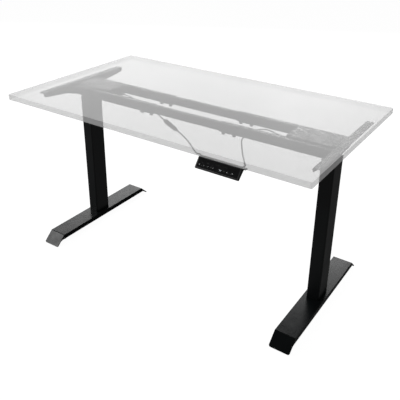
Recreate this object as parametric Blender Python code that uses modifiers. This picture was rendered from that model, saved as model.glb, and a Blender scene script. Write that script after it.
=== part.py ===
"""A height adjustable standing desk: two telescopic legs, a bolted rail frame, a clear top and a handset.

Metres, +Z up, origin on the floor under the middle of the desk's outline. +X is the user's right.
The desk is at its lowest setting. The two legs rise together, each on its own motor and spindle.
"""

import math

import bmesh
import bpy
from mathutils import Euler, Matrix, Vector

# Driving dimensions
TOP_WIDTH = 1.400
TOP_DEPTH = 0.800
TOP_THICKNESS = 0.024
TOP_HEIGHT = 0.765
LEG_X = 0.610
FRAME_Y = 0.0111

FOOT_WIDTH = 0.086
FOOT_TOP = 0.050
FOOT_FLAT = 0.580
FOOT_LENGTH = 0.676
FOOT_PLATE = 0.004
FOOT_SKIRT = 0.023
TOE_Z = 0.006
GLIDE_Y = 0.258
GLIDE_RADIUS = 0.013

OUTER_X, OUTER_Y, OUTER_WALL = 0.055, 0.086, 0.002
INNER_X, INNER_Y, INNER_WALL = 0.048, 0.079, 0.002
OUTER_TOP = 0.668
END_PLATE = 0.006
SPINDLE_RADIUS = 0.006
SCREW_X, SCREW_Y = 0.018, 0.026

TRAY_INNER_X = 0.442
TRAY_OUTER_X = 0.6385
TRAY_HALF_Y = 0.055
TRAY_BOTTOM = 0.690
TRAY_SHEET = 0.003
TRAY_TOP = 0.7355

ARM_HALF_LENGTH = 0.257
ARM_FLANGE = 0.033
ARM_SHEET = 0.003

RAIL_DEPTH, RAIL_HEIGHT, RAIL_WALL = 0.025, 0.038, 0.0015
RAIL_Y = 0.069
RAIL_Z = 0.714
SLEEVE_END_X = 0.164
CENTRE_RAIL_LENGTH = 0.620
CLAMP_BOLT_X = (0.182, 0.232)
CLAMP_BOLT_Y = -0.0045

HANDSET_X = 0.370
HANDSET_WIDTH = 0.170
FACE_TOP = (0.002, 0.7403)
FACE_FOOT = (-0.022, 0.7103)
BUTTON_OFFSETS = (-0.070, -0.054, -0.036, -0.017, 0.038, 0.059)
BUTTON_NAMES = ("button_set", "button_one", "button_two", "button_three", "button_up", "button_down")
DISPLAY_OFFSET = 0.0115
EAR_SIZE = (0.0180, 0.0140, 0.0030)
EAR_OFFSET = 0.0900
STUB_LENGTH = 0.022

CORD_RADIUS = 0.0025
CORD_POINTS = 44
GAP = 0.0003
ROUND_SIDES = 24
SMALL_SIDES = 16

UNDERSIDE = TOP_HEIGHT - TOP_THICKNESS
FRONT_Y = FRAME_Y - TOP_DEPTH / 2

# Routes of the three leads, from the left head to the right head
MOTOR_LEAD_ROUTE = (
    (-0.4277, 0.0111, 0.7140), (-0.4120, 0.0116, 0.7139), (-0.3940, 0.0126, 0.7125),
    (-0.3700, 0.0126, 0.7095), (-0.3400, 0.0101, 0.7050), (-0.3100, 0.0056, 0.7000),
    (-0.2800, -0.0014, 0.6960), (-0.2500, -0.0109, 0.6925), (-0.2200, -0.0199, 0.6892),
    (-0.1940, -0.0284, 0.6872), (-0.1710, -0.0384, 0.6860), (-0.1490, -0.0499, 0.6850),
    (-0.1270, -0.0624, 0.6842), (-0.1070, -0.0729, 0.6836),
)
CONTROL_LEAD_ROUTE = (
    (0.0060, -0.1319, 0.6802), (0.0230, -0.1409, 0.6798), (0.0450, -0.1539, 0.6797),
    (0.0686, -0.1694, 0.6800), (0.0920, -0.1864, 0.6812), (0.1153, -0.2048, 0.6832),
    (0.1390, -0.2264, 0.6862), (0.1614, -0.2484, 0.6902), (0.1790, -0.2664, 0.6944),
    (0.1942, -0.2829, 0.6990), (0.2090, -0.2989, 0.7040), (0.2227, -0.3136, 0.7092),
    (0.2360, -0.3269, 0.7145), (0.2490, -0.3389, 0.7206), (0.2596, -0.3483, 0.7274),
    (0.2692, -0.3567, 0.7322), (0.2785, -0.3649, 0.7325),
)
HEAD_LEAD_ROUTE = (
    (0.4277, -0.0089, 0.7140), (0.4120, -0.0086, 0.7140), (0.3960, -0.0049, 0.7135),
    (0.3740, 0.0051, 0.7122), (0.3510, 0.0176, 0.7106), (0.3280, 0.0261, 0.7086),
    (0.3070, 0.0256, 0.7058), (0.2900, 0.0171, 0.7018), (0.2775, 0.0016, 0.6962),
    (0.2700, -0.0194, 0.6904), (0.2665, -0.0424, 0.6866), (0.2690, -0.0664, 0.6852),
    (0.2830, -0.0934, 0.6850), (0.3015, -0.1229, 0.6858), (0.3200, -0.1524, 0.6878),
    (0.3390, -0.1824, 0.6910), (0.3600, -0.2149, 0.6962), (0.3810, -0.2469, 0.7030),
    (0.3980, -0.2734, 0.7098), (0.4136, -0.2984, 0.7168), (0.4275, -0.3209, 0.7240),
    (0.4385, -0.3364, 0.7297), (0.4448, -0.3469, 0.7325), (0.4450, -0.3569, 0.7325),
)

SIDES = {"left": -1.0, "right": 1.0}
ENDS = {"front": -1.0, "back": 1.0}


# ---------------------------------------------------------------- materials

def finish(name, colour, roughness, metallic=0.0, alpha=1.0):
    """Return a Principled material of one colour."""
    material = bpy.data.materials.new(name)
    material.use_nodes = True
    shader = material.node_tree.nodes["Principled BSDF"]
    shader.inputs["Base Color"].default_value = (*colour, 1.0)
    shader.inputs["Roughness"].default_value = roughness
    shader.inputs["Metallic"].default_value = metallic
    shader.inputs["Alpha"].default_value = alpha
    return material


def make_finishes():
    """Return the finishes by name. Every piece takes its own copy later."""
    return {
        "powder_coat": finish("powder_coat", (0.012, 0.013, 0.014), 0.45),
        "bare_steel": finish("bare_steel", (0.42, 0.42, 0.42), 0.35, 1.0),
        "black_plastic": finish("black_plastic", (0.014, 0.014, 0.015), 0.5),
        "gloss_plastic": finish("gloss_plastic", (0.006, 0.006, 0.007), 0.12),
        "clear_top": finish("clear_top", (0.69, 0.69, 0.70), 0.25, 0.0, 0.64),
        "rubber": finish("rubber", (0.02, 0.02, 0.02), 0.8),
        "nut_polymer": finish("nut_polymer", (0.75, 0.72, 0.62), 0.45),
        "display": finish("display", (0.004, 0.004, 0.005), 0.05),
        "board": finish("board", (0.01, 0.09, 0.04), 0.5),
        "motor_case": finish("motor_case", (0.25, 0.25, 0.26), 0.4, 1.0),
    }


# ---------------------------------------------------------------- scene and mesh helpers

def clear_scene():
    """Remove every object that the file opened with."""
    for item in list(bpy.data.objects):
        bpy.data.objects.remove(item, do_unlink=True)


def new_collection(name, parent):
    """Return a new collection linked under the parent."""
    group = bpy.data.collections.new(name)
    parent.children.link(group)
    return group


class Bench:
    """Holds the collections, the finishes and the empties that the pieces hang on."""

    def __init__(self):
        root = bpy.context.scene.collection
        self.parts = new_collection("standing_desk", root)
        self.cutters = new_collection("cutters", root)
        self.cutters.hide_render = True
        self.finishes = make_finishes()
        self.anchors = {}

    def anchor(self, name, place):
        """Add an empty on a joint's axis."""
        empty = bpy.data.objects.new(name, None)
        empty.location = place
        self.parts.objects.link(empty)
        self.anchors[name] = empty

    def place(self, name, mesh, where, finish_name, body, turn=(0.0, 0.0, 0.0)):
        """Make a named piece from a mesh, with its own finish, on a body's empty."""
        piece = bpy.data.objects.new(name, mesh)
        own_finish = self.finishes[finish_name].copy()
        own_finish.name = name + "_finish"
        mesh.materials.clear()
        mesh.materials.append(own_finish)
        self.parts.objects.link(piece)
        piece.parent = self.anchors[body]
        piece.location = Vector(where) - self.anchors[body].location
        piece.rotation_euler = turn
        return piece

    def helper(self, name, mesh, where, turn=(0.0, 0.0, 0.0)):
        """Make a hidden object for a Boolean."""
        shape = bpy.data.objects.new(name, mesh)
        shape.location = where
        shape.rotation_euler = turn
        shape.hide_render = True
        shape.display_type = "WIRE"
        self.cutters.objects.link(shape)
        return shape


def block(size):
    """Return a box mesh about its centre."""
    build = bmesh.new()
    bmesh.ops.create_cube(build, size=1.0, matrix=Matrix.Diagonal((*size, 1.0)))
    return to_mesh(build, "block")


def rod(radius, length, axis="Z", sides=SMALL_SIDES):
    """Return a cylinder mesh about its centre, along an axis."""
    turns = {"X": Euler((0, math.pi / 2, 0)), "Y": Euler((math.pi / 2, 0, 0)), "Z": Euler((0, 0, 0))}
    build = bmesh.new()
    bmesh.ops.create_cone(
        build, cap_ends=True, segments=sides, radius1=radius, radius2=radius, depth=length,
        matrix=turns[axis].to_matrix().to_4x4(),
    )
    return to_mesh(build, "rod")


def to_mesh(build, name):
    """Turn a bmesh into a mesh and free it."""
    mesh = bpy.data.meshes.new(name)
    build.to_mesh(mesh)
    build.free()
    return mesh


PLANES = {
    "XY": Matrix.Identity(4),
    "XZ": Matrix.Rotation(math.pi / 2, 4, "X"),
    "YZ": Matrix(((0, 0, 1, 0), (1, 0, 0, 0), (0, 1, 0, 0), (0, 0, 0, 1))),
}


def prism(loops, thickness, plane="XY"):
    """Return a flat outline, with any inner loops as holes, given a thickness about its plane."""
    curve = bpy.data.curves.new("outline", "CURVE")
    curve.dimensions = "2D"
    curve.fill_mode = "BOTH"
    curve.extrude = thickness / 2
    for loop in loops:
        spline = curve.splines.new("POLY")
        spline.points.add(len(loop) - 1)
        for point, (u, v) in zip(spline.points, loop):
            point.co = (u, v, 0.0, 1.0)
        spline.use_cyclic_u = True
    mesh = curve_to_mesh(curve)
    mesh.transform(PLANES[plane])
    return mesh


def curve_to_mesh(curve):
    """Return a curve's surface as a welded mesh with its faces out, and remove the curve."""
    guide = bpy.data.objects.new("guide", curve)
    bpy.context.scene.collection.objects.link(guide)
    graph = bpy.context.evaluated_depsgraph_get()
    mesh = bpy.data.meshes.new_from_object(guide.evaluated_get(graph))
    bpy.data.objects.remove(guide, do_unlink=True)
    return welded(mesh)


def welded(mesh):
    """Join a mesh's touching points and turn its faces out."""
    build = bmesh.new()
    build.from_mesh(mesh)
    bmesh.ops.remove_doubles(build, verts=build.verts, dist=0.00001)
    bmesh.ops.recalc_face_normals(build, faces=build.faces)
    build.to_mesh(mesh)
    build.free()
    return mesh


def rounded_rectangle(width, height, radius, steps=3):
    """Return the points of a rectangle about the origin with round corners."""
    points = []
    corners = ((1, 1, 0.0), (-1, 1, 0.5), (-1, -1, 1.0), (1, -1, 1.5))
    for side_x, side_y, start in corners:
        centre_x = side_x * (width / 2 - radius)
        centre_y = side_y * (height / 2 - radius)
        for step in range(steps + 1):
            angle = math.pi * (start + 0.5 * step / steps)
            points.append((centre_x + radius * math.cos(angle), centre_y + radius * math.sin(angle)))
    return points


def box_tube(width, depth, wall, length, radius, plane="XY"):
    """Return a rectangular tube, open at both ends, about its centre."""
    outer = rounded_rectangle(width, depth, radius)
    inner = rounded_rectangle(width - 2 * wall, depth - 2 * wall, max(radius - wall, 0.0008))
    return prism([outer, inner], length, plane)


def turned(profile, steps=ROUND_SIDES):
    """Return a mesh turned about Z from (radius, height) points that run from top to bottom."""
    mesh = bpy.data.meshes.new("profile")
    points = [(radius, 0.0, height) for radius, height in profile]
    mesh.from_pydata(points, [(index, index + 1) for index in range(len(points) - 1)], [])
    blank = bpy.data.objects.new("turning", mesh)
    screw = blank.modifiers.new("turn", "SCREW")
    screw.steps = steps
    screw.render_steps = steps
    screw.use_merge_vertices = True
    screw.merge_threshold = 0.00001
    bpy.context.scene.collection.objects.link(blank)
    graph = bpy.context.evaluated_depsgraph_get()
    solid = bpy.data.meshes.new_from_object(blank.evaluated_get(graph))
    bpy.data.objects.remove(blank, do_unlink=True)
    return welded(solid)


def combine(piece, shapes, operation):
    """Join or cut hidden shapes into a piece with live Boolean modifiers."""
    for shape in shapes:
        modifier = piece.modifiers.new(shape.name, "BOOLEAN")
        modifier.operation = operation
        modifier.solver = "EXACT"
        modifier.object = shape


def soften(piece, width, segments=1, angle=40.0):
    """Round a piece's sharp edges."""
    modifier = piece.modifiers.new("soften", "BEVEL")
    modifier.width = width
    modifier.segments = segments
    modifier.limit_method = "ANGLE"
    modifier.angle_limit = math.radians(angle)


def smooth_path(points, count):
    """Return evenly spaced points on a smooth curve through hand-placed points."""
    knots = [Vector(point) for point in points]
    knots = [2 * knots[0] - knots[1]] + knots + [2 * knots[-1] - knots[-2]]
    dense = []
    for index in range(1, len(knots) - 2):
        before, start, end, after = knots[index - 1:index + 3]
        for step in range(12):
            t = step / 12
            dense.append(0.5 * (
                2 * start + (end - before) * t
                + (2 * before - 5 * start + 4 * end - after) * t ** 2
                + (3 * start - before - 3 * end + after) * t ** 3
            ))
    dense.append(knots[-2])
    lengths = [0.0]
    for start, end in zip(dense, dense[1:]):
        lengths.append(lengths[-1] + (end - start).length)
    even = []
    position = 0
    for step in range(count):
        target = lengths[-1] * step / (count - 1)
        while position < len(dense) - 2 and lengths[position + 1] < target:
            position += 1
        share = (target - lengths[position]) / (lengths[position + 1] - lengths[position])
        even.append(dense[position].lerp(dense[position + 1], share))
    return even


def cord(points, radius, count=CORD_POINTS):
    """Return a round cord's mesh along a route."""
    curve = bpy.data.curves.new("cord", "CURVE")
    curve.dimensions = "3D"
    curve.bevel_depth = radius
    curve.bevel_resolution = 2
    curve.use_fill_caps = True
    spline = curve.splines.new("POLY")
    path = smooth_path(points, count)
    spline.points.add(len(path) - 1)
    for point, place in zip(spline.points, path):
        point.co = (*place, 1.0)
    return curve_to_mesh(curve)


# ---------------------------------------------------------------- foot and leg

def foot_outline():
    """Return the side view of the bent foot plate: a flat with a toe sloping down at each end."""
    half_flat = FOOT_FLAT / 2
    half_length = FOOT_LENGTH / 2
    slope = Vector((half_length - half_flat, TOE_Z - FOOT_TOP)).normalized()
    inner = Vector((slope.y, -slope.x)) * FOOT_PLATE
    bend = FOOT_PLATE * math.tan(math.atan2(-slope.y, slope.x) / 2)
    top_side = [
        (-half_length, TOE_Z), (-half_flat, FOOT_TOP), (half_flat, FOOT_TOP), (half_length, TOE_Z),
    ]
    under_side = [
        (half_length + inner.x, TOE_Z + inner.y), (half_flat - bend, FOOT_TOP - FOOT_PLATE),
        (-half_flat + bend, FOOT_TOP - FOOT_PLATE), (-half_length - inner.x, TOE_Z + inner.y),
    ]
    return top_side + under_side


def skirt_outline():
    """Return one side wall of the foot: a strip whose ends sweep down inside the toes."""
    top = FOOT_TOP - FOOT_PLATE / 2
    low = FOOT_TOP - FOOT_SKIRT
    reach = FOOT_FLAT / 2 + 0.018
    sweep = 0.026
    ends = []
    for step in range(5):
        angle = math.pi / 2 * step / 4
        ends.append((reach - sweep * math.sin(angle), low - 0.005 * math.cos(angle)))
    right = [(FOOT_FLAT / 2 - 0.004, top), (FOOT_FLAT / 2 + 0.003, top - 0.006)] + ends
    left = [(-u, v) for u, v in reversed(right)]
    return right + left


def make_foot(bench, side, sign, body):
    """Bend the foot plate, weld its side walls and glide brackets in, and drill it."""
    centre = Vector((sign * LEG_X, FRAME_Y, 0.0))
    foot = bench.place("foot_" + side, prism([foot_outline()], FOOT_WIDTH, "YZ"), centre, "powder_coat", body)
    welds = []
    for edge in (-1.0, 1.0):
        place = centre + Vector((edge * (FOOT_WIDTH / 2 - 0.00155), 0.0, 0.0))
        welds.append(bench.helper("skirt", prism([skirt_outline()], 0.003, "YZ"), place))
    for end in ENDS.values():
        place = centre + Vector((0.0, end * GLIDE_Y, 0.0330))
        welds.append(bench.helper("glide_bracket", block((FOOT_WIDTH - 0.004, 0.036, 0.004)), place))
    combine(foot, welds, "UNION")
    holes = []
    for end in ENDS.values():
        place = centre + Vector((0.0, end * GLIDE_Y, 0.0330))
        holes.append(bench.helper("stud_hole", rod(0.0044, 0.010), place))
    for place in screw_places(centre, FOOT_TOP):
        holes.append(bench.helper("screw_hole", rod(0.0035, 0.020, sides=12), place))
    combine(foot, holes, "DIFFERENCE")


def screw_places(centre, height):
    """Return the four places of the screws that hold a leg to its foot."""
    places = []
    for step_x in (-SCREW_X, SCREW_X):
        for step_y in (-SCREW_Y, SCREW_Y):
            places.append(centre + Vector((step_x, step_y, height)))
    return places


def make_foot_screws(bench, side, sign, body):
    """Four screws on one washer strip, up through the foot into the leg's end plate."""
    centre = Vector((sign * LEG_X, FRAME_Y, 0.0))
    strip_top = FOOT_TOP - FOOT_PLATE - GAP
    strip = bench.place(
        "leg_screws_" + side, block((0.052, 0.068, 0.002)), centre + Vector((0, 0, strip_top - 0.001)),
        "bare_steel", body,
    )
    joined = []
    for place in screw_places(centre, 0.0):
        shank_low = strip_top - 0.001
        shank_high = FOOT_TOP + 0.0048
        middle = (shank_low + shank_high) / 2
        shank = rod(0.003, shank_high - shank_low, sides=12)
        joined.append(bench.helper("shank", shank, place + Vector((0, 0, middle))))
        head = place + Vector((0, 0, strip_top - 0.0038))
        joined.append(bench.helper("head", rod(0.0055, 0.004, sides=12), head))
    combine(strip, joined, "UNION")


def make_glide(bench, name, place, body):
    """A levelling glide: pad, hexagon collar and stud."""
    stud = [(0.0, 0.0430), (0.0034, 0.0430), (0.0040, 0.0424), (0.0040, 0.0307)]
    pad = [
        (0.0080, 0.0307), (0.0080, 0.0210), (0.0060, 0.0200), (0.0060, 0.0110), (0.0095, 0.0085),
        (GLIDE_RADIUS - 0.001, 0.0070), (GLIDE_RADIUS, 0.0060), (GLIDE_RADIUS, 0.0010),
        (GLIDE_RADIUS - 0.001, 0.0), (0.0, 0.0),
    ]
    bench.place(name, turned(stud + pad, 20), place, "rubber", body)


def make_outer_tube(bench, side, sign, body):
    """The fixed outer tube of a leg, with its end plate welded in and tapped."""
    length = OUTER_TOP - FOOT_TOP - GAP
    centre = Vector((sign * LEG_X, FRAME_Y, FOOT_TOP + GAP + length / 2))
    tube = bench.place(
        "leg_outer_tube_" + side, box_tube(OUTER_X, OUTER_Y, OUTER_WALL, length, 0.005), centre,
        "powder_coat", body,
    )
    plate_size = (OUTER_X - OUTER_WALL, OUTER_Y - OUTER_WALL)
    plate = prism([rounded_rectangle(*plate_size, 0.004)], END_PLATE)
    floor = FOOT_TOP + GAP
    foot_centre = Vector((sign * LEG_X, FRAME_Y, 0.0))
    weld = bench.helper("end_plate", plate, foot_centre + Vector((0, 0, floor + END_PLATE / 2)))
    combine(tube, [weld], "UNION")
    taps = []
    for place in screw_places(foot_centre, floor):
        taps.append(bench.helper("tap", rod(0.0034, 0.020, sides=12), place))
    combine(tube, taps, "DIFFERENCE")


def make_collar(bench, side, sign, body):
    """The moulded glide collar: a lip on the outer tube and a thin sleeve between the tubes."""
    bore = (INNER_X + 2 * GAP, INNER_Y + 2 * GAP)
    lip = 0.003
    loops = [
        rounded_rectangle(OUTER_X, OUTER_Y, 0.005),
        rounded_rectangle(*bore, 0.0042),
    ]
    top = OUTER_TOP + GAP + lip / 2
    centre = Vector((sign * LEG_X, FRAME_Y, 0.0))
    place = centre + Vector((0, 0, top))
    collar = bench.place("glide_collar_" + side, prism(loops, lip), place, "black_plastic", body)
    sleeve_size = (OUTER_X - 2 * OUTER_WALL - 2 * GAP, OUTER_Y - 2 * OUTER_WALL - 2 * GAP)
    sleeve_loops = [rounded_rectangle(*sleeve_size, 0.0046), rounded_rectangle(*bore, 0.0042)]
    length = 0.042
    middle = OUTER_TOP + GAP + 0.001 - length / 2
    sleeve = bench.helper("collar_sleeve", prism(sleeve_loops, length), centre + Vector((0, 0, middle)))
    combine(collar, [sleeve], "UNION")


def make_push_tube(bench, side, sign, body):
    """The push tube that stands on the end plate, and the spindle nut on top of it."""
    centre = Vector((sign * LEG_X, FRAME_Y, 0.0))
    low = FOOT_TOP + GAP + END_PLATE + GAP
    high = 0.600
    wall = [(0.0125, high), (0.0125, low), (0.0105, low), (0.0105, high), (0.0125, high)]
    bench.place("push_tube_" + side, turned(wall, 20), centre, "bare_steel", body)
    bore = SPINDLE_RADIUS + 0.0004
    nut_low = high + GAP
    nut = [
        (0.0150, nut_low + 0.030), (0.0150, nut_low + 0.006), (0.0180, nut_low + 0.006), (0.0180, nut_low),
        (bore, nut_low), (bore, nut_low + 0.030), (0.0150, nut_low + 0.030),
    ]
    bench.place("spindle_nut_" + side, turned(nut, 20), centre, "nut_polymer", body)


def make_inner_tube(bench, side, sign):
    """The sliding inner tube, bolted up under the head."""
    low = 0.070
    high = TRAY_BOTTOM - GAP
    centre = Vector((sign * LEG_X, FRAME_Y, (low + high) / 2))
    mesh = box_tube(INNER_X, INNER_Y, INNER_WALL, high - low, 0.0042)
    bench.place("leg_inner_tube_" + side, mesh, centre, "powder_coat", "upper_frame")


def make_spindle(bench, side, sign):
    """The lifting screw's core, hanging from the gearbox, with a stop washer on its end."""
    centre = Vector((sign * LEG_X, FRAME_Y, 0.0))
    top = 0.7120
    low = 0.090
    profile = [
        (0.0, top), (SPINDLE_RADIUS - 0.001, top), (SPINDLE_RADIUS, top - 0.001),
        (SPINDLE_RADIUS, low + 0.004),
        (0.0085, low + 0.004), (0.0085, low), (0.0, low),
    ]
    bench.place("spindle_" + side, turned(profile, 20), centre, "bare_steel", "spindle_axis_" + side)


# ---------------------------------------------------------------- head, rails and arms

def make_head_tray(bench, side, sign):
    """The folded steel tray that holds motor and gearbox, with its openings."""
    length = TRAY_OUTER_X - TRAY_INNER_X
    height = TRAY_TOP - TRAY_BOTTOM
    middle_x = sign * (TRAY_OUTER_X + TRAY_INNER_X) / 2
    centre = Vector((middle_x, FRAME_Y, TRAY_BOTTOM + height / 2))
    sheet_box = block((length, 2 * TRAY_HALF_Y, height))
    tray = bench.place("head_tray_" + side, sheet_box, centre, "powder_coat", "upper_frame")
    hollow = block((length - 2 * TRAY_SHEET, 2 * (TRAY_HALF_Y - TRAY_SHEET), height))
    cuts = [bench.helper("tray_hollow", hollow, centre + Vector((0, 0, TRAY_SHEET)))]
    axis = Vector((sign * LEG_X, FRAME_Y, TRAY_BOTTOM))
    cuts.append(bench.helper("spindle_hole", rod(0.009, 0.012, sides=20), axis))
    end_x = sign * (TRAY_INNER_X + TRAY_SHEET / 2)
    cuts.append(bench.helper("gland_hole", rod(0.0043, 0.010, "X"), (end_x, gland_y(side), RAIL_Z)))
    if side == "right":
        cuts.append(bench.helper("inlet_hole", block((0.010, 0.0286, 0.0206)), (end_x, INLET_Y, RAIL_Z)))
    combine(tray, cuts, "DIFFERENCE")
    cover_mesh = block((length - 0.001, 2 * TRAY_HALF_Y - 0.001, 0.0018))
    cover_place = (middle_x, FRAME_Y, TRAY_TOP + GAP + 0.0009)
    cover = bench.place("head_cover_" + side, cover_mesh, cover_place, "powder_coat", "upper_frame")
    soften(cover, 0.0004)


def gland_y(side):
    """Return where a head's lead comes out: beside the mains inlet on the right."""
    return FRAME_Y if side == "left" else FRAME_Y - 0.020


INLET_Y = FRAME_Y + 0.024


def make_drive(bench, side, sign):
    """The worm gearbox over the leg, bored for the spindle, and the motor beside it."""
    centre = Vector((sign * LEG_X, FRAME_Y, 0.0))
    low = TRAY_BOTTOM + TRAY_SHEET + GAP
    high = 0.7320
    box = block((0.048, 0.080, high - low))
    middle = centre + Vector((0, 0, (low + high) / 2))
    gearbox = bench.place("gearbox_" + side, box, middle, "motor_case", "upper_frame")
    bore_mesh = rod(SPINDLE_RADIUS + 0.0004, 0.0250, sides=20)
    bore = bench.helper("spindle_bore", bore_mesh, centre + Vector((0, 0, 0.7010)))
    combine(gearbox, [bore], "DIFFERENCE")
    soften(gearbox, 0.0015)
    length = 0.100
    near = LEG_X - 0.024 - GAP
    place = (sign * (near - length / 2), FRAME_Y, low + 0.0188)
    shell = rod(0.0185, length, "X", ROUND_SIDES)
    motor = bench.place("motor_" + side, shell, place, "motor_case", "upper_frame")
    soften(motor, 0.0015)


def make_gland(bench, side, sign):
    """The rubber gland in the head's end wall, where its lead comes out."""
    wall = TRAY_INNER_X
    middle = Vector((sign * (wall - 0.0070), gland_y(side), RAIL_Z))
    neck_place = Vector((sign * (wall + 0.0020), gland_y(side), RAIL_Z))
    gland = bench.place("gland_" + side, rod(0.0048, 0.0134, "X"), middle, "rubber", "upper_frame")
    neck = bench.helper("gland_neck", rod(0.0040, 0.0080, "X"), neck_place)
    combine(gland, [neck], "UNION")


def make_mains_inlet(bench):
    """The mains inlet in the right head's end wall: a moulded shroud, open towards the middle of the desk."""
    wall = TRAY_INNER_X
    depth = 0.018
    middle = Vector((wall + depth / 2 - 0.001, INLET_Y, RAIL_Z))
    inlet = bench.place("mains_inlet", block((depth, 0.0278, 0.0198)), middle, "black_plastic", "upper_frame")
    flange_place = (wall - GAP - 0.0008, INLET_Y, RAIL_Z)
    flange = bench.helper("inlet_flange", block((0.0016, 0.0340, 0.0240)), flange_place)
    combine(inlet, [flange], "UNION")
    hollow = block((depth, 0.0230, 0.0150))
    combine(inlet, [bench.helper("inlet_hollow", hollow, middle - Vector((0.003, 0, 0)))], "DIFFERENCE")


def arm_outline():
    """Return the arm's hanging web: deep at the head, swept up to shallow round tips."""
    top = UNDERSIDE - GAP
    half = [
        (0.060, TRAY_BOTTOM + 0.0005), (0.078, TRAY_BOTTOM + 0.0020), (0.092, TRAY_BOTTOM + 0.0060),
        (0.108, TRAY_BOTTOM + 0.0120), (0.130, TRAY_BOTTOM + 0.0170), (0.180, TRAY_BOTTOM + 0.0230),
        (ARM_HALF_LENGTH - 0.010, TRAY_BOTTOM + 0.0310), (ARM_HALF_LENGTH - 0.003, TRAY_BOTTOM + 0.0350),
        (ARM_HALF_LENGTH, TRAY_BOTTOM + 0.0410), (ARM_HALF_LENGTH, top),
    ]
    return half + [(-u, v) for u, v in reversed(half)]


def make_arm(bench, side, sign):
    """The side arm under the top: a tapered web with a flange turned outwards."""
    web_x = sign * (TRAY_OUTER_X + 0.0006 + ARM_SHEET / 2)
    web = prism([arm_outline()], ARM_SHEET, "YZ")
    arm = bench.place("side_arm_" + side, web, (web_x, FRAME_Y, 0.0), "powder_coat", "upper_frame")
    flange_x = sign * (TRAY_OUTER_X + 0.0006 + ARM_FLANGE / 2)
    loop = rounded_rectangle(ARM_FLANGE, 2 * ARM_HALF_LENGTH, 0.006)
    place = (flange_x, FRAME_Y, UNDERSIDE - GAP - ARM_SHEET / 2)
    combine(arm, [bench.helper("arm_flange", prism([loop], ARM_SHEET), place)], "UNION")


def make_sleeve(bench, side, sign, end, way):
    """One outer rail sleeve, bored for its two clamp bolts."""
    length = TRAY_OUTER_X - SLEEVE_END_X - 0.001
    centre = Vector((sign * (SLEEVE_END_X + length / 2), FRAME_Y + way * RAIL_Y, RAIL_Z))
    mesh = box_tube(RAIL_DEPTH, RAIL_HEIGHT, RAIL_WALL, length, 0.002, "YZ")
    sleeve = bench.place("rail_sleeve_" + side + "_" + end, mesh, centre, "powder_coat", "upper_frame")
    combine(sleeve, bolt_holes(bench, sign, way), "DIFFERENCE")


def bolt_holes(bench, sign, way):
    """Return hidden rods at the two clamp bolts of one sleeve."""
    holes = []
    for bolt_x in CLAMP_BOLT_X:
        place = (sign * bolt_x, FRAME_Y + way * RAIL_Y + CLAMP_BOLT_Y, RAIL_Z - RAIL_HEIGHT / 2)
        holes.append(bench.helper("bolt_hole", rod(0.0035, 0.020, sides=12), place))
    return holes


def make_centre_rail(bench, end, way):
    """The inner rail that telescopes in both sleeves and is clamped at assembly."""
    depth = RAIL_DEPTH - 2 * RAIL_WALL - 0.001
    height = RAIL_HEIGHT - 2 * RAIL_WALL - 0.001
    mesh = box_tube(depth, height, RAIL_WALL, CENTRE_RAIL_LENGTH, 0.002, "YZ")
    place = (0.0, FRAME_Y + way * RAIL_Y, RAIL_Z)
    rail = bench.place("centre_rail_" + end, mesh, place, "powder_coat", "upper_frame")
    for sign in SIDES.values():
        combine(rail, bolt_holes(bench, sign, way), "DIFFERENCE")


def make_rail_clamp(bench, side, sign, end, way):
    """Two hexagon bolts on one strip, up through sleeve and centre rail."""
    middle_x = sum(CLAMP_BOLT_X) / 2
    strip_top = RAIL_Z - RAIL_HEIGHT / 2 - GAP
    thickness = 0.0010
    centre = Vector((sign * middle_x, FRAME_Y + way * RAIL_Y, strip_top - thickness / 2))
    strip_mesh = block((0.068, 0.020, thickness))
    strip = bench.place(f"rail_clamp_{side}_{end}", strip_mesh, centre, "powder_coat", "upper_frame")
    joined = []
    for bolt_x in CLAMP_BOLT_X:
        place = Vector((sign * bolt_x, FRAME_Y + way * RAIL_Y + CLAMP_BOLT_Y, 0.0))
        low = strip_top - thickness / 2
        high = strip_top + 0.008
        shank = rod(0.003, high - low, sides=12)
        joined.append(bench.helper("bolt", shank, place + Vector((0, 0, (low + high) / 2))))
        head = place + Vector((0, 0, strip_top - thickness - 0.0041))
        joined.append(bench.helper("bolt_head", rod(0.0075, 0.0086, sides=6), head))
    combine(strip, joined, "UNION")


def make_desktop(bench):
    """The clear top: one slab with lightly rounded corners."""
    loop = rounded_rectangle(TOP_WIDTH, TOP_DEPTH, 0.004)
    place = (0.0, FRAME_Y, TOP_HEIGHT - TOP_THICKNESS / 2)
    bench.place("desktop", prism([loop], TOP_THICKNESS), place, "clear_top", "upper_frame")


# ---------------------------------------------------------------- handset

FACE_RUN = Vector((FACE_FOOT[0] - FACE_TOP[0], FACE_FOOT[1] - FACE_TOP[1]))
FACE_LENGTH = FACE_RUN.length
FACE_TILT = math.atan2(-FACE_RUN.y, -FACE_RUN.x)
FACE_NORMAL = Vector((0.0, -math.sin(FACE_TILT), math.cos(FACE_TILT)))
FACE_DOWN = Vector((0.0, -math.cos(FACE_TILT), -math.sin(FACE_TILT)))
FACE_TURN = (FACE_TILT, 0.0, 0.0)


def on_face(across, down, out):
    """Return the place of a point on the handset's sloping face.

    across is from the middle, down from the upper edge, and out along the outward normal.
    """
    start = Vector((HANDSET_X, FRONT_Y + FACE_TOP[0], FACE_TOP[1]))
    return start + Vector((across, 0.0, 0.0)) + FACE_DOWN * down + FACE_NORMAL * out


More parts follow.
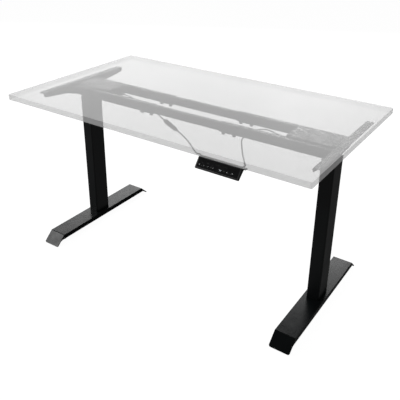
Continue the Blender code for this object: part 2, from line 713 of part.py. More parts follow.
def handset_outline():
    """Return the handset's end view: a sloping wedge with a round nose and a flat against the top."""
    nose = Vector(FACE_FOOT) + Vector((FACE_NORMAL.y, FACE_NORMAL.z)) * -0.0055
    points = [(0.016, 0.7405), (0.016, 0.7300), (0.0125, 0.7270)]
    slab_down = Vector((FACE_DOWN.y, FACE_DOWN.z))
    for step in range(5):
        angle = math.pi * step / 4
        away = Vector((-FACE_NORMAL.y, -FACE_NORMAL.z)) * math.cos(angle) + slab_down * math.sin(angle) * 0.62
        point = nose + away * 0.0055
        points.append((point.x, point.y))
    points.append(FACE_TOP)
    points.append((0.004, 0.7405))
    return points


def make_handset_case(bench):
    """The moulded case with a pocket under its face, a screw ear at the right and a stub for each lead."""
    place = (HANDSET_X, FRONT_Y, 0.0)
    slab = prism([handset_outline()], HANDSET_WIDTH, "YZ")
    case = bench.place("handset_case", slab, place, "black_plastic", "upper_frame")
    stubs = [bench.helper("ear", block(EAR_SIZE), (HANDSET_X + EAR_OFFSET, FRONT_Y + 0.0088, 0.7390))]
    for route, heading in ((CONTROL_LEAD_ROUTE, (0.75, -0.66, 0.0)), (HEAD_LEAD_ROUTE, (0.0, -1.0, 0.0))):
        along = Vector(heading).normalized()
        middle = Vector(route[-1]) + along * (2 * GAP + STUB_LENGTH / 2)
        turn = along.to_track_quat("Y", "Z").to_euler()
        stubs.append(bench.helper("lead_stub", rod(0.0036, STUB_LENGTH, "Y"), middle, turn))
    combine(case, stubs, "UNION")
    middle = FACE_LENGTH / 2
    recess = block((0.1626, FACE_LENGTH - 0.0040, 0.0040))
    pocket = block((0.1570, FACE_LENGTH - 0.0150, 0.0120))
    cuts = [
        bench.helper("fascia_recess", recess, on_face(0.0, middle, 0.0005), FACE_TURN),
        bench.helper("board_pocket", pocket, on_face(0.0, middle, -0.0018), FACE_TURN),
    ]
    combine(case, cuts, "DIFFERENCE")


BUTTON_DOWN = 0.0205
BUTTON_SIZE = (0.0130, 0.0190)


def make_fascia(bench):
    """The gloss fascia with a window for the display and a hole for each button."""
    middle = FACE_LENGTH / 2
    plate = block((0.1620, FACE_LENGTH - 0.0046, 0.0012))
    fascia_place = on_face(0.0, middle, -0.0006)
    fascia = bench.place("handset_fascia", plate, fascia_place, "gloss_plastic", "upper_frame", FACE_TURN)
    holes = []
    for offset in BUTTON_OFFSETS:
        mesh = block((BUTTON_SIZE[0], BUTTON_SIZE[1], 0.006))
        holes.append(bench.helper("button_hole", mesh, on_face(offset, BUTTON_DOWN, 0.0), FACE_TURN))
    window = block((0.0250, BUTTON_SIZE[1], 0.006))
    holes.append(bench.helper("window_hole", window, on_face(DISPLAY_OFFSET, BUTTON_DOWN, 0.0), FACE_TURN))
    combine(fascia, holes, "DIFFERENCE")
    board = block((0.1500, FACE_LENGTH - 0.0150, 0.0012))
    bench.place("control_board", board, on_face(0.0, middle, -0.0069), "board", "upper_frame", FACE_TURN)
    display = block((0.0244, BUTTON_SIZE[1] - 0.0006, 0.0030))
    place = on_face(DISPLAY_OFFSET, BUTTON_DOWN, -0.0015)
    bench.place("display_window", display, place, "display", "upper_frame", FACE_TURN)


def make_buttons(bench):
    """Six key caps, each on its own empty in the line of its travel."""
    for name, offset in zip(BUTTON_NAMES, BUTTON_OFFSETS):
        place = on_face(offset, BUTTON_DOWN, -0.0023)
        bench.anchor(name + "_travel", place)
        cap = block((BUTTON_SIZE[0] - 0.0006, BUTTON_SIZE[1] - 0.0006, 0.0056))
        button = bench.place(name, cap, place, "gloss_plastic", name + "_travel", FACE_TURN)
        soften(button, 0.0003)


# ---------------------------------------------------------------- leads

def make_leads(bench):
    """The three leads and the inline connector between the left motor and the handset."""
    origin = (0.0, 0.0, 0.0)
    routes = {
        "lead_motor_left": MOTOR_LEAD_ROUTE,
        "lead_control": CONTROL_LEAD_ROUTE,
        "lead_head_right": HEAD_LEAD_ROUTE,
    }
    for name, route in routes.items():
        bench.place(name, cord(route, CORD_RADIUS), origin, "rubber", "upper_frame")
    start = Vector(MOTOR_LEAD_ROUTE[-1])
    end = Vector(CONTROL_LEAD_ROUTE[0])
    along = (end - start).normalized()
    length = (end - start).length
    half = (length - 3 * GAP) / 2
    turn = along.to_track_quat("Z", "Y").to_euler()
    socket = [
        (0.0, half), (0.0085, half), (0.0092, half - 0.001), (0.0092, 0.022), (0.0066, 0.012),
        (0.0042, 0.001), (0.0036, 0.0), (0.0, 0.0),
    ]
    plug = [
        (0.0, half), (0.0036, half), (0.0042, half - 0.001), (0.0066, half - 0.012), (0.0086, half - 0.022),
        (0.0086, 0.007), (0.0070, 0.006), (0.0070, 0.0), (0.0, 0.0),
    ]
    socket_start = start + along * GAP
    bench.place("connector_socket", turned(socket, 16), socket_start, "black_plastic", "upper_frame", turn)
    plug_start = start + along * (half + 2 * GAP)
    bench.place("connector_plug", turned(plug, 16), plug_start, "black_plastic", "upper_frame", turn)


# ---------------------------------------------------------------- the whole desk

def make_leg(bench, side, sign):
    """Everything between the floor and the head on one side."""
    base = side + "_base"
    centre = Vector((sign * LEG_X, FRAME_Y, 0.0))
    bench.anchor(base, centre)
    bench.anchor("spindle_axis_" + side, centre)
    make_foot(bench, side, sign, base)
    make_foot_screws(bench, side, sign, base)
    for end, way in ENDS.items():
        name = "glide_" + side + "_" + end
        place = centre + Vector((0.0, way * GLIDE_Y, 0.0))
        bench.anchor(name + "_thread", place)
        make_glide(bench, name, place, name + "_thread")
    make_outer_tube(bench, side, sign, base)
    make_collar(bench, side, sign, base)
    make_push_tube(bench, side, sign, base)
    make_inner_tube(bench, side, sign)
    make_spindle(bench, side, sign)


def make_head(bench, side, sign):
    """Everything at the top of one leg that rises with the desktop."""
    make_head_tray(bench, side, sign)
    make_drive(bench, side, sign)
    make_gland(bench, side, sign)
    make_arm(bench, side, sign)
    for end, way in ENDS.items():
        make_sleeve(bench, side, sign, end, way)
        make_rail_clamp(bench, side, sign, end, way)


def shade(bench):
    """Shade every piece smooth, with its sharp edges kept."""
    for piece in bench.parts.objects:
        if piece.type == "MESH":
            piece.data.shade_smooth()
            piece.data.set_sharp_from_angle(angle=math.radians(35.0))


def main():
    """Build the desk."""
    clear_scene()
    bench = Bench()
    bench.anchor("upper_frame", Vector((0.0, FRAME_Y, TRAY_BOTTOM)))
    for side, sign in SIDES.items():
        make_leg(bench, side, sign)
        make_head(bench, side, sign)
    for end, way in ENDS.items():
        make_centre_rail(bench, end, way)
    make_mains_inlet(bench)
    make_desktop(bench)
    make_handset_case(bench)
    make_fascia(bench)
    make_buttons(bench)
    make_leads(bench)
    shade(bench)


main()
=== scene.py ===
"""Looks of a height adjustable standing desk: a clear top on a black lifting frame with two legs.

Each class builds one sub-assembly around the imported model, in metres, +Z up and +X to the user's right.
"""

import logging
import math
import sys
from dataclasses import dataclass, field
from enum import Enum
from typing import Any, Callable, Iterable, Sequence

import bmesh
import bpy
from bpy.types import Material, Mesh, Node, NodeSocket, NodeTree, Object
from mathutils import Matrix, Vector

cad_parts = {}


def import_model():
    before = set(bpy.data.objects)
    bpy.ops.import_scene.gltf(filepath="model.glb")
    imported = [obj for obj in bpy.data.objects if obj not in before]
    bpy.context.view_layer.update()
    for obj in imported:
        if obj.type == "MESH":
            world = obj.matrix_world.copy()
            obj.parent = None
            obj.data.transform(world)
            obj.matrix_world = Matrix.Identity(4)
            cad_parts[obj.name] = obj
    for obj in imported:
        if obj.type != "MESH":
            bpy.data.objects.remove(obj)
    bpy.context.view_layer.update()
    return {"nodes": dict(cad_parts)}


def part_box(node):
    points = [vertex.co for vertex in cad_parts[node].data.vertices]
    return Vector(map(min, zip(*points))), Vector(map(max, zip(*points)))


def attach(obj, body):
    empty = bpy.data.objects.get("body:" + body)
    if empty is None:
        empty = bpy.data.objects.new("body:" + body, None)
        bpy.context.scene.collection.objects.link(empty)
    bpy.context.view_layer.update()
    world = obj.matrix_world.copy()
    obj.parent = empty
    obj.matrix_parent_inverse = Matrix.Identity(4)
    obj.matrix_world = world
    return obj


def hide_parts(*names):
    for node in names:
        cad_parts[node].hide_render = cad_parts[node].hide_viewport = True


LOG = logging.getLogger("standing_desk")
UPPER = "upper_frame"
MILLIMETRE = 0.001
WHITE = (1.0, 1.0, 1.0, 1.0)
SMOOTH_UNDER = math.radians(48.0)
INK_THICKNESS = 0.00012
GAP = 0.0003
TOUCHING = 0.000008

Pair = tuple[float, float]
Triple = tuple[float, float, float]
Loop = Sequence[Pair]

UPWARD: Triple = (0.0, 0.0, 1.0)
DOWNWARD: Triple = (0.0, 0.0, -1.0)


class Plane(Enum):
    """The plane that an outline is drawn in, as the turn from the flat one."""

    FLAT = Matrix.Identity(4)
    SIDE = Matrix(((0, 0, 1, 0), (1, 0, 0, 0), (0, 1, 0, 0), (0, 0, 0, 1)))


class Way(Enum):
    """A way along one axis, with its sign as the value."""

    @property
    def word(self) -> str:
        """The way's name as the nodes spell it."""
        return self.name.lower()


class Side(Way):
    """The two legs, with the sign of their X."""

    LEFT = -1.0
    RIGHT = 1.0


class End(Way):
    """The user's side of the frame and the far side, with the sign of their Y."""

    FRONT = -1.0
    BACK = 1.0


# ---------------------------------------------------------------- node trees

def add_node(tree: NodeTree, kind: str, settings: dict[str, Any] | None = None,
             feeds: dict[Any, Any] | None = None) -> Node:
    """Add a node with its settings and feeds.

    Args:
        tree: The tree that the node goes into.
        kind: The node's type name.
        settings: Values of the node's own properties.
        feeds: What goes into each input socket: a socket to link, or a constant.

    Returns:
        The new node.
    """
    node = tree.nodes.new(kind)
    for key, value in (settings or {}).items():
        setattr(node, key, value)
    for key, value in (feeds or {}).items():
        if isinstance(value, NodeSocket):
            tree.links.new(value, node.inputs[key])
        else:
            node.inputs[key].default_value = value
    return node


def linear(colour: str) -> tuple[float, float, float, float]:
    """Turn an sRGB hex colour into linear RGBA.

    Args:
        colour: The colour as #rrggbb.

    Returns:
        Four linear channels, opaque.
    """
    channels = [int(colour[start:start + 2], 16) / 255 for start in (1, 3, 5)]
    red, green, blue = (c / 12.92 if c <= 0.04045 else ((c + 0.055) / 1.055) ** 2.4 for c in channels)
    return (red, green, blue, 1.0)


def per_metre(size_mm: float) -> float:
    """Return the texture scale that repeats a pattern every so many millimetres."""
    return 1.0 / (size_mm * MILLIMETRE)


# ---------------------------------------------------------------- finishes

@dataclass(frozen=True)
class Finish:
    """A surface with a fine grain in its relief and slow drifts of tone and gloss over it.

    The tone drifts between two colours and the gloss between two roughness values.
    """

    name: str
    slot: str
    colour: str
    drift_colour: str
    roughness: Pair
    grain_mm: float
    grain_height_mm: float
    drift_mm: float = 70.0
    stretch: Triple = (1.0, 1.0, 1.0)
    constants: tuple[tuple[str, float], ...] = ()

    def build(self) -> Material:
        """Make the material and return it."""
        material = bpy.data.materials.new(self.name)
        material.use_nodes = True
        tree = material.node_tree
        shader = tree.nodes["Principled BSDF"]
        for socket, value in self.constants:
            shader.inputs[socket].default_value = value
        self.dress(tree, shader)
        return material

    def dress(self, tree: NodeTree, shader: Node) -> None:
        """Feed the shader its tone, gloss and relief.

        Args:
            tree: The material's node tree.
            shader: Its Principled node.
        """
        place = add_node(tree, "ShaderNodeTexCoord").outputs["Object"]
        stretched = add_node(tree, "ShaderNodeMapping", feeds={"Vector": place, "Scale": self.stretch})
        along = stretched.outputs["Vector"]
        drift = add_node(
            tree, "ShaderNodeTexNoise",
            feeds={"Vector": along, "Scale": per_metre(self.drift_mm), "Detail": 3.0, "Roughness": 0.55},
        ).outputs["Fac"]
        grain = add_node(
            tree, "ShaderNodeTexNoise",
            feeds={"Vector": along, "Scale": per_metre(self.grain_mm), "Detail": 2.0, "Roughness": 0.6},
        ).outputs["Fac"]
        both = add_node(
            tree, "ShaderNodeMath", {"operation": "MULTIPLY_ADD"}, {0: grain, 1: 0.45, 2: 0.0},
        )
        tree.links.new(add_node(tree, "ShaderNodeMath", {"operation": "MULTIPLY"}, {0: drift, 1: 0.55}).outputs[0],
                       both.inputs[2])
        tone = add_node(
            tree, "ShaderNodeMix", {"data_type": "RGBA"},
            {"Factor": both.outputs[0], "A": linear(self.colour), "B": linear(self.drift_colour)},
        )
        gloss = add_node(
            tree, "ShaderNodeMapRange",
            feeds={"Value": drift, "From Min": 0.3, "From Max": 0.7,
                   "To Min": self.roughness[0], "To Max": self.roughness[1]},
        )
        relief = add_node(
            tree, "ShaderNodeBump",
            feeds={"Height": grain, "Strength": 0.6, "Distance": self.grain_height_mm * MILLIMETRE},
        )
        colour = next(socket for socket in tone.outputs if socket.type == "RGBA")
        tree.links.new(colour, shader.inputs["Base Color"])
        tree.links.new(gloss.outputs["Result"], shader.inputs["Roughness"])
        tree.links.new(relief.outputs["Normal"], shader.inputs["Normal"])


@dataclass(frozen=True)
class PlatedFinish(Finish):
    """Metal with fine scratches that run one way over its drift of gloss."""

    scratch_mm: float = 0.5

    def dress(self, tree: NodeTree, shader: Node) -> None:
        """Add the scratches' gloss to the plain grain.

        Args:
            tree: The material's node tree.
            shader: Its Principled node.
        """
        super().dress(tree, shader)
        place = add_node(tree, "ShaderNodeTexCoord").outputs["Object"]
        drawn = add_node(tree, "ShaderNodeMapping", feeds={"Vector": place, "Scale": (1.0, 1.0, 0.06)})
        lines = drawn.outputs["Vector"]
        scratches = add_node(
            tree, "ShaderNodeTexNoise",
            feeds={"Vector": lines, "Scale": per_metre(self.scratch_mm), "Detail": 4.0},
        ).outputs["Fac"]
        gloss = shader.inputs["Roughness"].links[0].from_socket
        worn = add_node(tree, "ShaderNodeMath", {"operation": "MULTIPLY_ADD"}, {0: scratches, 1: 0.16, 2: gloss})
        tree.links.new(worn.outputs[0], shader.inputs["Roughness"])


@dataclass(frozen=True)
class BoardFinish(Finish):
    """A lacquered circuit board: lighter tracks under the lacquer."""

    track_mm: float = 3.0

    def dress(self, tree: NodeTree, shader: Node) -> None:
        """Lay the tracks over the plain grain.

        Args:
            tree: The material's node tree.
            shader: Its Principled node.
        """
        super().dress(tree, shader)
        place = add_node(tree, "ShaderNodeTexCoord").outputs["Object"]
        tracks = add_node(
            tree, "ShaderNodeTexBrick",
            feeds={"Vector": place, "Scale": per_metre(self.track_mm) / 4, "Mortar Size": 0.03,
                   "Color1": linear(self.colour), "Color2": linear(self.colour), "Mortar": linear("#3f8a57")},
        )
        tree.links.new(tracks.outputs["Color"], shader.inputs["Base Color"])


class Finishes(Enum):
    """Every finish of the desk."""

    # Epoxy-polyester powder baked on steel: a matt black with a fine orange-peel grain, so edges glow softly.
    # The grain is drawn at 1.4 mm, coarser than the real half millimetre, so that it shows.
    POWDER_COAT = Finish(
        "powder_coated_steel", "powder_coat", "#0b0d0e", "#131617", (0.36, 0.46), 1.4, 0.05, 90.0,
        constants=(("IOR", 1.5), ("Specular IOR Level", 0.5)),
    )
    # The same powder on the feet, worn smooth and dull by shoes, with broader drifts of gloss.
    FOOT_COAT = Finish(
        "powder_coated_foot_plate", "powder_coat", "#0c0e0f", "#121516", (0.26, 0.32), 1.4, 0.004, 45.0,
        constants=(("IOR", 1.5), ("Specular IOR Level", 0.08)),
    )
    # Cast acrylic sheet with a faint haze: pale grey, partly seen through, with hardly any gloss.
    CLEAR_TOP = Finish(
        "cast_acrylic_hazed", "clear_top", "#dcdcdc", "#e0e0e0", (0.34, 0.42), 9.0, 0.004, 220.0,
        constants=(("IOR", 1.49), ("Specular IOR Level", 0.02), ("Alpha", 0.4)),
    )
    # Injection-moulded ABS with a spark-eroded texture: dull black with a soft sparkle.
    MOULDED = Finish(
        "moulded_abs_spark_textured", "black_plastic", "#0e0f10", "#161718", (0.42, 0.55), 0.8, 0.04, 30.0,
        constants=(("IOR", 1.54),),
    )
    # Polished acrylic panel, hard-coated: deep black that mirrors the room, with faint wipe marks.
    GLOSS = Finish(
        "polished_acrylic_black", "gloss_plastic", "#050607", "#08090b", (0.06, 0.16), 2.0, 0.003, 18.0,
        constants=(("IOR", 1.49), ("Coat Weight", 0.4), ("Coat Roughness", 0.05)),
    )
    # Smoked polycarbonate lens: near black, smoother than the panel round it.
    LENS = Finish(
        "smoked_polycarbonate_lens", "display", "#030405", "#06080a", (0.03, 0.08), 2.0, 0.001, 12.0,
        constants=(("IOR", 1.58), ("Coat Weight", 0.6), ("Coat Roughness", 0.03)),
    )
    # Silk-screened white ink: a chalky layer with soft mottling.
    INK = Finish(
        "silk_screened_white_ink", "gloss_plastic", "#e9eced", "#f6f8f8", (0.5, 0.65), 0.5, 0.01, 3.0,
        constants=(("IOR", 1.45),),
    )
    # Light-emitting segments behind the lens: cool white with an even glow.
    SEGMENT = Finish(
        "lit_display_segment", "display", "#dfe9ee", "#f2f7fa", (0.3, 0.4), 0.5, 0.002, 3.0,
        constants=(("Emission Strength", 0.35),),
    )
    # Zinc-plated steel, bright: pale metal with a satin scatter and turning marks.
    ZINC = PlatedFinish(
        "zinc_plated_steel", "bare_steel", "#a9adb1", "#c3c6c8", (0.24, 0.36), 0.9, 0.01, 8.0,
        constants=(("Metallic", 1.0),),
    )
    # Black-oxide steel of the bolts: dark metal with an oily sheen.
    BLACK_OXIDE = PlatedFinish(
        "black_oxide_steel", "powder_coat", "#1c1e20", "#2a2c2e", (0.34, 0.46), 0.7, 0.015, 6.0,
        constants=(("Metallic", 0.85),),
    )
    # Enamelled motor shell and gearbox: dark grey with a smooth low gloss.
    MOTOR_SHELL = Finish(
        "enamelled_motor_shell", "motor_case", "#2e3134", "#3b3e41", (0.3, 0.42), 1.2, 0.02, 25.0,
        constants=(("Metallic", 0.6),),
    )
    # Turned acetal: creamy white with fine tool rings.
    ACETAL = Finish(
        "turned_acetal", "nut_polymer", "#d9d2bd", "#e6e0cf", (0.36, 0.48), 0.5, 0.01, 9.0,
        stretch=(0.2, 0.2, 1.0), constants=(("IOR", 1.48),),
    )
    # Moulded rubber: flat black with a dusty bloom.
    RUBBER = Finish(
        "moulded_rubber", "rubber", "#111213", "#1d1e1f", (0.72, 0.86), 0.7, 0.03, 12.0,
        constants=(("IOR", 1.52),),
    )
    # Extruded PVC jacket of the leads: black with a slow waxy variation.
    JACKET = Finish(
        "extruded_pvc_jacket", "rubber", "#0f1011", "#17181a", (0.38, 0.5), 1.0, 0.012, 20.0,
        constants=(("IOR", 1.53),),
    )
    # Lacquered circuit board with its tracks.
    BOARD = BoardFinish(
        "lacquered_circuit_board", "board", "#0c3b22", "#124a2b", (0.3, 0.4), 0.6, 0.01, 10.0,
    )


class Rack:
    """Keeps one material for each finish."""

    def __init__(self) -> None:
        """Start with an empty rack."""
        self.made: dict[Finishes, Material] = {}

    def take(self, finish: Finishes) -> Material:
        """Return the finish's material, and make it on its first use.

        Args:
            finish: The finish wanted.

        Returns:
            Its material.
        """
        if finish not in self.made:
            self.made[finish] = finish.value.build()
            if finish is Finishes.SEGMENT:
                shader = self.made[finish].node_tree.nodes["Principled BSDF"]
                shader.inputs["Emission Color"].default_value = linear("#dfeef5")
        return self.made[finish]


# ---------------------------------------------------------------- meshes

def heading(turn: float) -> Vector:
    """Return the flat unit vector at an angle from the first axis."""
    return Vector((math.cos(turn), math.sin(turn)))


def to_mesh(build: bmesh.types.BMesh, name: str = "shape") -> Mesh:
    """Turn a bmesh into a mesh and free it.

    Args:
        build: The bmesh.
        name: The mesh's name.

    Returns:
        The mesh.
    """
    mesh = bpy.data.meshes.new(name)
    build.to_mesh(mesh)
    build.free()
    return mesh


def tidy(mesh: Mesh) -> Mesh:
    """Join a mesh's touching points and turn its faces out.

    Args:
        mesh: The mesh, which is changed.

    Returns:
        The same mesh.
    """
    build = bmesh.new()
    build.from_mesh(mesh)
    bmesh.ops.remove_doubles(build, verts=build.verts, dist=TOUCHING)
    bmesh.ops.dissolve_degenerate(build, edges=build.edges, dist=TOUCHING / 4)
    bmesh.ops.recalc_face_normals(build, faces=build.faces)
    build.to_mesh(mesh)
    build.free()
    return mesh


def moved(mesh: Mesh, *turns: Matrix, place: Sequence[float] = (0.0, 0.0, 0.0)) -> Mesh:
    """Turn a mesh about the origin, then shift it.

    Args:
        mesh: The mesh, which is changed.
        *turns: The turns, the last one first.
        place: Where its origin goes.

    Returns:
        The same mesh.
    """
    whole = Matrix.Translation(place)
    for turn in turns:
        whole = whole @ turn
    mesh.transform(whole)
    return mesh


def stand(name: str, data: bpy.types.ID) -> Object:
    """Return a new object in the scene, at the origin.

    Args:
        name: Its name.
        data: What it shows.

    Returns:
        The object.
    """
    item = bpy.data.objects.new(name, data)
    bpy.context.scene.collection.objects.link(item)
    return item


def settle(item: Object) -> Mesh:
    """Return a plain mesh of what an object shows with its modifiers, and remove the object.

    Args:
        item: The object.

    Returns:
        Its evaluated mesh.
    """
    if item.name not in bpy.context.scene.collection.objects:
        bpy.context.scene.collection.objects.link(item)
    graph = bpy.context.evaluated_depsgraph_get()
    mesh = bpy.data.meshes.new_from_object(item.evaluated_get(graph))
    bpy.data.objects.remove(item, do_unlink=True)
    return mesh


def rounded_rectangle(width: float, height: float, radius: float, steps: int = 5,
                      centre: Pair = (0.0, 0.0)) -> list[Pair]:
    """Return the points of a rectangle with round corners.

    Args:
        width: Its size along the first axis.
        height: Its size along the second axis.
        radius: The corners' radius.
        steps: Steps round each corner.
        centre: Its middle.

    Returns:
        The points in order.
    """
    points = []
    for side_u, side_v, start in ((1, 1, 0.0), (-1, 1, 0.5), (-1, -1, 1.0), (1, -1, 1.5)):
        middle_u = centre[0] + side_u * (width / 2 - radius)
        middle_v = centre[1] + side_v * (height / 2 - radius)
        for step in range(steps + 1):
            angle = math.pi * (start + 0.5 * step / steps)
            points.append((middle_u + radius * math.cos(angle), middle_v + radius * math.sin(angle)))
    return points


def plate(loops: Sequence[Loop], thickness: float, rounding: float = 0.0, plane: Plane = Plane.FLAT,
          place: Sequence[float] = (0.0, 0.0, 0.0)) -> Mesh:
    """Give flat outlines a thickness, with rounded rims.

    Args:
        loops: Outlines, the inner ones as holes.
        thickness: The whole thickness, rims included.
        rounding: The rims' radius.
        plane: The plane that the outlines are drawn in.
        place: Where the plate's middle goes.

    Returns:
        The closed mesh.
    """
    curve = bpy.data.curves.new("outline", "CURVE")
    curve.dimensions = "2D"
    curve.fill_mode = "BOTH"
    curve.extrude = thickness / 2 - rounding
    curve.bevel_depth = rounding
    curve.bevel_resolution = 1
    curve.offset = -rounding
    for loop in loops:
        spline = curve.splines.new("POLY")
        spline.points.add(len(loop) - 1)
        for point, (u, v) in zip(spline.points, loop):
            point.co = (u, v, 0.0, 1.0)
        spline.use_cyclic_u = True
    return moved(tidy(settle(bpy.data.objects.new("outline", curve))), plane.value, place=place)


def panel(size: Sequence[float], corner: float, rounding: float, place: Sequence[float], steps: int = 5,
          plane: Plane = Plane.FLAT) -> Mesh:
    """Return a plate with round corners and rims.

    Args:
        size: Its two sizes in the plane and its thickness.
        corner: The corners' radius.
        rounding: The rims' radius.
        place: Its middle.
        steps: Steps round each corner.
        plane: The plane that it lies in.

    Returns:
        The closed mesh.
    """
    return plate([rounded_rectangle(size[0], size[1], corner, steps)], size[2], rounding, plane, place)


def turned(profile: Sequence[Pair], sides: int = 32) -> Mesh:
    """Turn a profile about Z.

    Args:
        profile: (radius, height) points from one end of the axis to the other, or round a ring.
        sides: Steps round the axis.

    Returns:
        The closed mesh.
    """
    build = bmesh.new()
    rings = []
    for radius, height in profile:
        if radius == 0.0:
            rings.append([build.verts.new((0.0, 0.0, height))] * sides)
        else:
            angles = [2 * math.pi * step / sides for step in range(sides)]
            rings.append([build.verts.new((radius * math.cos(a), radius * math.sin(a), height)) for a in angles])
    for lower, upper in zip(rings, rings[1:]):
        for step in range(sides):
            after = (step + 1) % sides
            corners = [lower[step], lower[after], upper[after], upper[step]]
            build.faces.new(list(dict.fromkeys(corners)))
    return tidy(to_mesh(build))


def punch(radius: float, reach: float, sides: int) -> Mesh:
    """Return a round punch for a hole, which reaches as far both ways along Z."""
    return turned([(0.0, -reach), (radius, -reach), (radius, reach), (0.0, reach)], sides)


def lofted(sections: Sequence[Sequence[Sequence[float]]]) -> Mesh:
    """Skin a row of closed outlines that have the same number of points.

    Args:
        sections: The outlines, each a list of points.

    Returns:
        The closed mesh, capped at both ends.
    """
    build = bmesh.new()
    rows = [[build.verts.new(point) for point in section] for section in sections]
    count = len(rows[0])
    for near, far in zip(rows, rows[1:]):
        for step in range(count):
            after = (step + 1) % count
            build.faces.new((near[step], near[after], far[after], far[step]))
    build.faces.new(rows[0])
    build.faces.new(list(reversed(rows[-1])))
    return tidy(to_mesh(build))


def joined(meshes: Iterable[Mesh]) -> Mesh:
    """Put several meshes into one, as they are.

    Args:
        meshes: The meshes, which are used up.

    Returns:
        One mesh.
    """
    build = bmesh.new()
    for mesh in meshes:
        build.from_mesh(mesh)
        bpy.data.meshes.remove(mesh)
    return to_mesh(build)


def carved(mesh: Mesh, tools: Iterable[Mesh]) -> Mesh:
    """Cut tools from a mesh.

    Args:
        mesh: The blank.
        tools: The shapes to cut away.

    Returns:
        The finished mesh.
    """
    blank = bpy.data.objects.new("blank", mesh)
    helpers = []
    for tool in tools:
        helpers.append(stand("tool", tool))
        modifier = blank.modifiers.new("carve", "BOOLEAN")
        modifier.operation = "DIFFERENCE"
        modifier.solver = "EXACT"
        modifier.object = helpers[-1]
    result = settle(blank)
    for helper in helpers:
        bpy.data.objects.remove(helper, do_unlink=True)
    return tidy(result)


def softened(mesh: Mesh, width: float, segments: int = 2, angle: float = 35.0) -> Mesh:
    """Round a mesh's sharp edges.

    Args:
        mesh: The mesh.
        width: The rounding's width.
        segments: Its steps.
        angle: Edges sharper than this, in degrees, are rounded.

    Returns:
        The rounded mesh.
    """
    blank = bpy.data.objects.new("blank", mesh)
    modifier = blank.modifiers.new("soften", "BEVEL")
    modifier.width = width
    modifier.segments = segments
    modifier.limit_method = "ANGLE"
    modifier.angle_limit = math.radians(angle)
    modifier.miter_outer = "MITER_ARC"
    return settle(blank)


def box_blank(size: Sequence[float], place: Sequence[float]) -> Mesh:
    """Return a plain box, used as a cutting tool or a blank to be rounded.

    Args:
        size: Its three sizes.
        place: Its middle.

    Returns:
        The mesh.
    """
    build = bmesh.new()
    bmesh.ops.create_cube(build, size=1.0, matrix=Matrix.Translation(place) @ Matrix.Diagonal((*size, 1.0)))
    return to_mesh(build)


def smooth_path(points: Sequence[Triple], count: int) -> list[Vector]:
    """Return evenly spaced points on a smooth curve through given points.

    Args:
        points: The given points.
        count: How many points to return.

    Returns:
        The even points, both ends included.
    """
    knots = [Vector(point) for point in points]
    knots = [2 * knots[0] - knots[1]] + knots + [2 * knots[-1] - knots[-2]]
    dense = []
    for index in range(1, len(knots) - 2):
        before, start, end, after = knots[index - 1:index + 3]
        for step in range(12):
            t = step / 12
            dense.append(0.5 * (
                2 * start + (end - before) * t
                + (2 * before - 5 * start + 4 * end - after) * t ** 2
                + (3 * start - before - 3 * end + after) * t ** 3
            ))
    dense.append(knots[-2])
    lengths = [0.0]
    for start, end in zip(dense, dense[1:]):
        lengths.append(lengths[-1] + (end - start).length)
    even = []
    position = 0
    for step in range(count):
        target = lengths[-1] * step / (count - 1)
        while position < len(dense) - 2 and lengths[position + 1] < target:
            position += 1
        share = (target - lengths[position]) / (lengths[position + 1] - lengths[position])
        even.append(dense[position].lerp(dense[position + 1], share))
    return even


# ---------------------------------------------------------------- rules that repeat a shape

class Rule:
    """A Geometry Nodes tree with named inputs, run once to give a plain mesh."""

    def __init__(self, name: str, inputs: dict[str, str],
                 wire: Callable[[NodeTree, dict[str, NodeSocket]], NodeSocket]) -> None:
        """Build the tree.

        Args:
            name: The tree's name.
            inputs: Each input's kind of socket, by its name.
            wire: Builds the nodes and returns the geometry socket to realise.
        """
        tree = bpy.data.node_groups.new(name, "GeometryNodeTree")
        tree.interface.new_socket("Geometry", in_out="INPUT", socket_type="NodeSocketGeometry")
        for label, kind in {**inputs, "Finish": "Material"}.items():
            tree.interface.new_socket(label, in_out="INPUT", socket_type="NodeSocket" + kind)
        tree.interface.new_socket("Geometry", in_out="OUTPUT", socket_type="NodeSocketGeometry")
        start = tree.nodes.new("NodeGroupInput")
        sockets = {socket.name: socket for socket in start.outputs if socket.name}
        plain = add_node(tree, "GeometryNodeRealizeInstances", feeds={"Geometry": wire(tree, sockets)})
        dressed = add_node(
            tree, "GeometryNodeSetMaterial",
            feeds={"Geometry": plain.outputs["Geometry"], "Material": sockets["Finish"]},
        )
        add_node(tree, "NodeGroupOutput", feeds={"Geometry": dressed.outputs["Geometry"]})
        self.tree = tree

    def run(self, base: Mesh | None = None, **values: Any) -> Mesh:
        """Run the rule on a mesh.

        Args:
            base: The mesh it starts from, if it needs one.
            **values: The inputs, by name with underscores for spaces.

        Returns:
            A plain mesh.
        """
        item = bpy.data.objects.new("rule", base or bpy.data.meshes.new("start"))
        modifier = item.modifiers.new("rule", "NODES")
        modifier.node_group = self.tree
        for socket in self.tree.interface.items_tree:
            key = socket.name.replace(" ", "_").lower()
            if socket.in_out == "INPUT" and key in values:
                modifier[socket.identifier] = values[key]
        return settle(item)


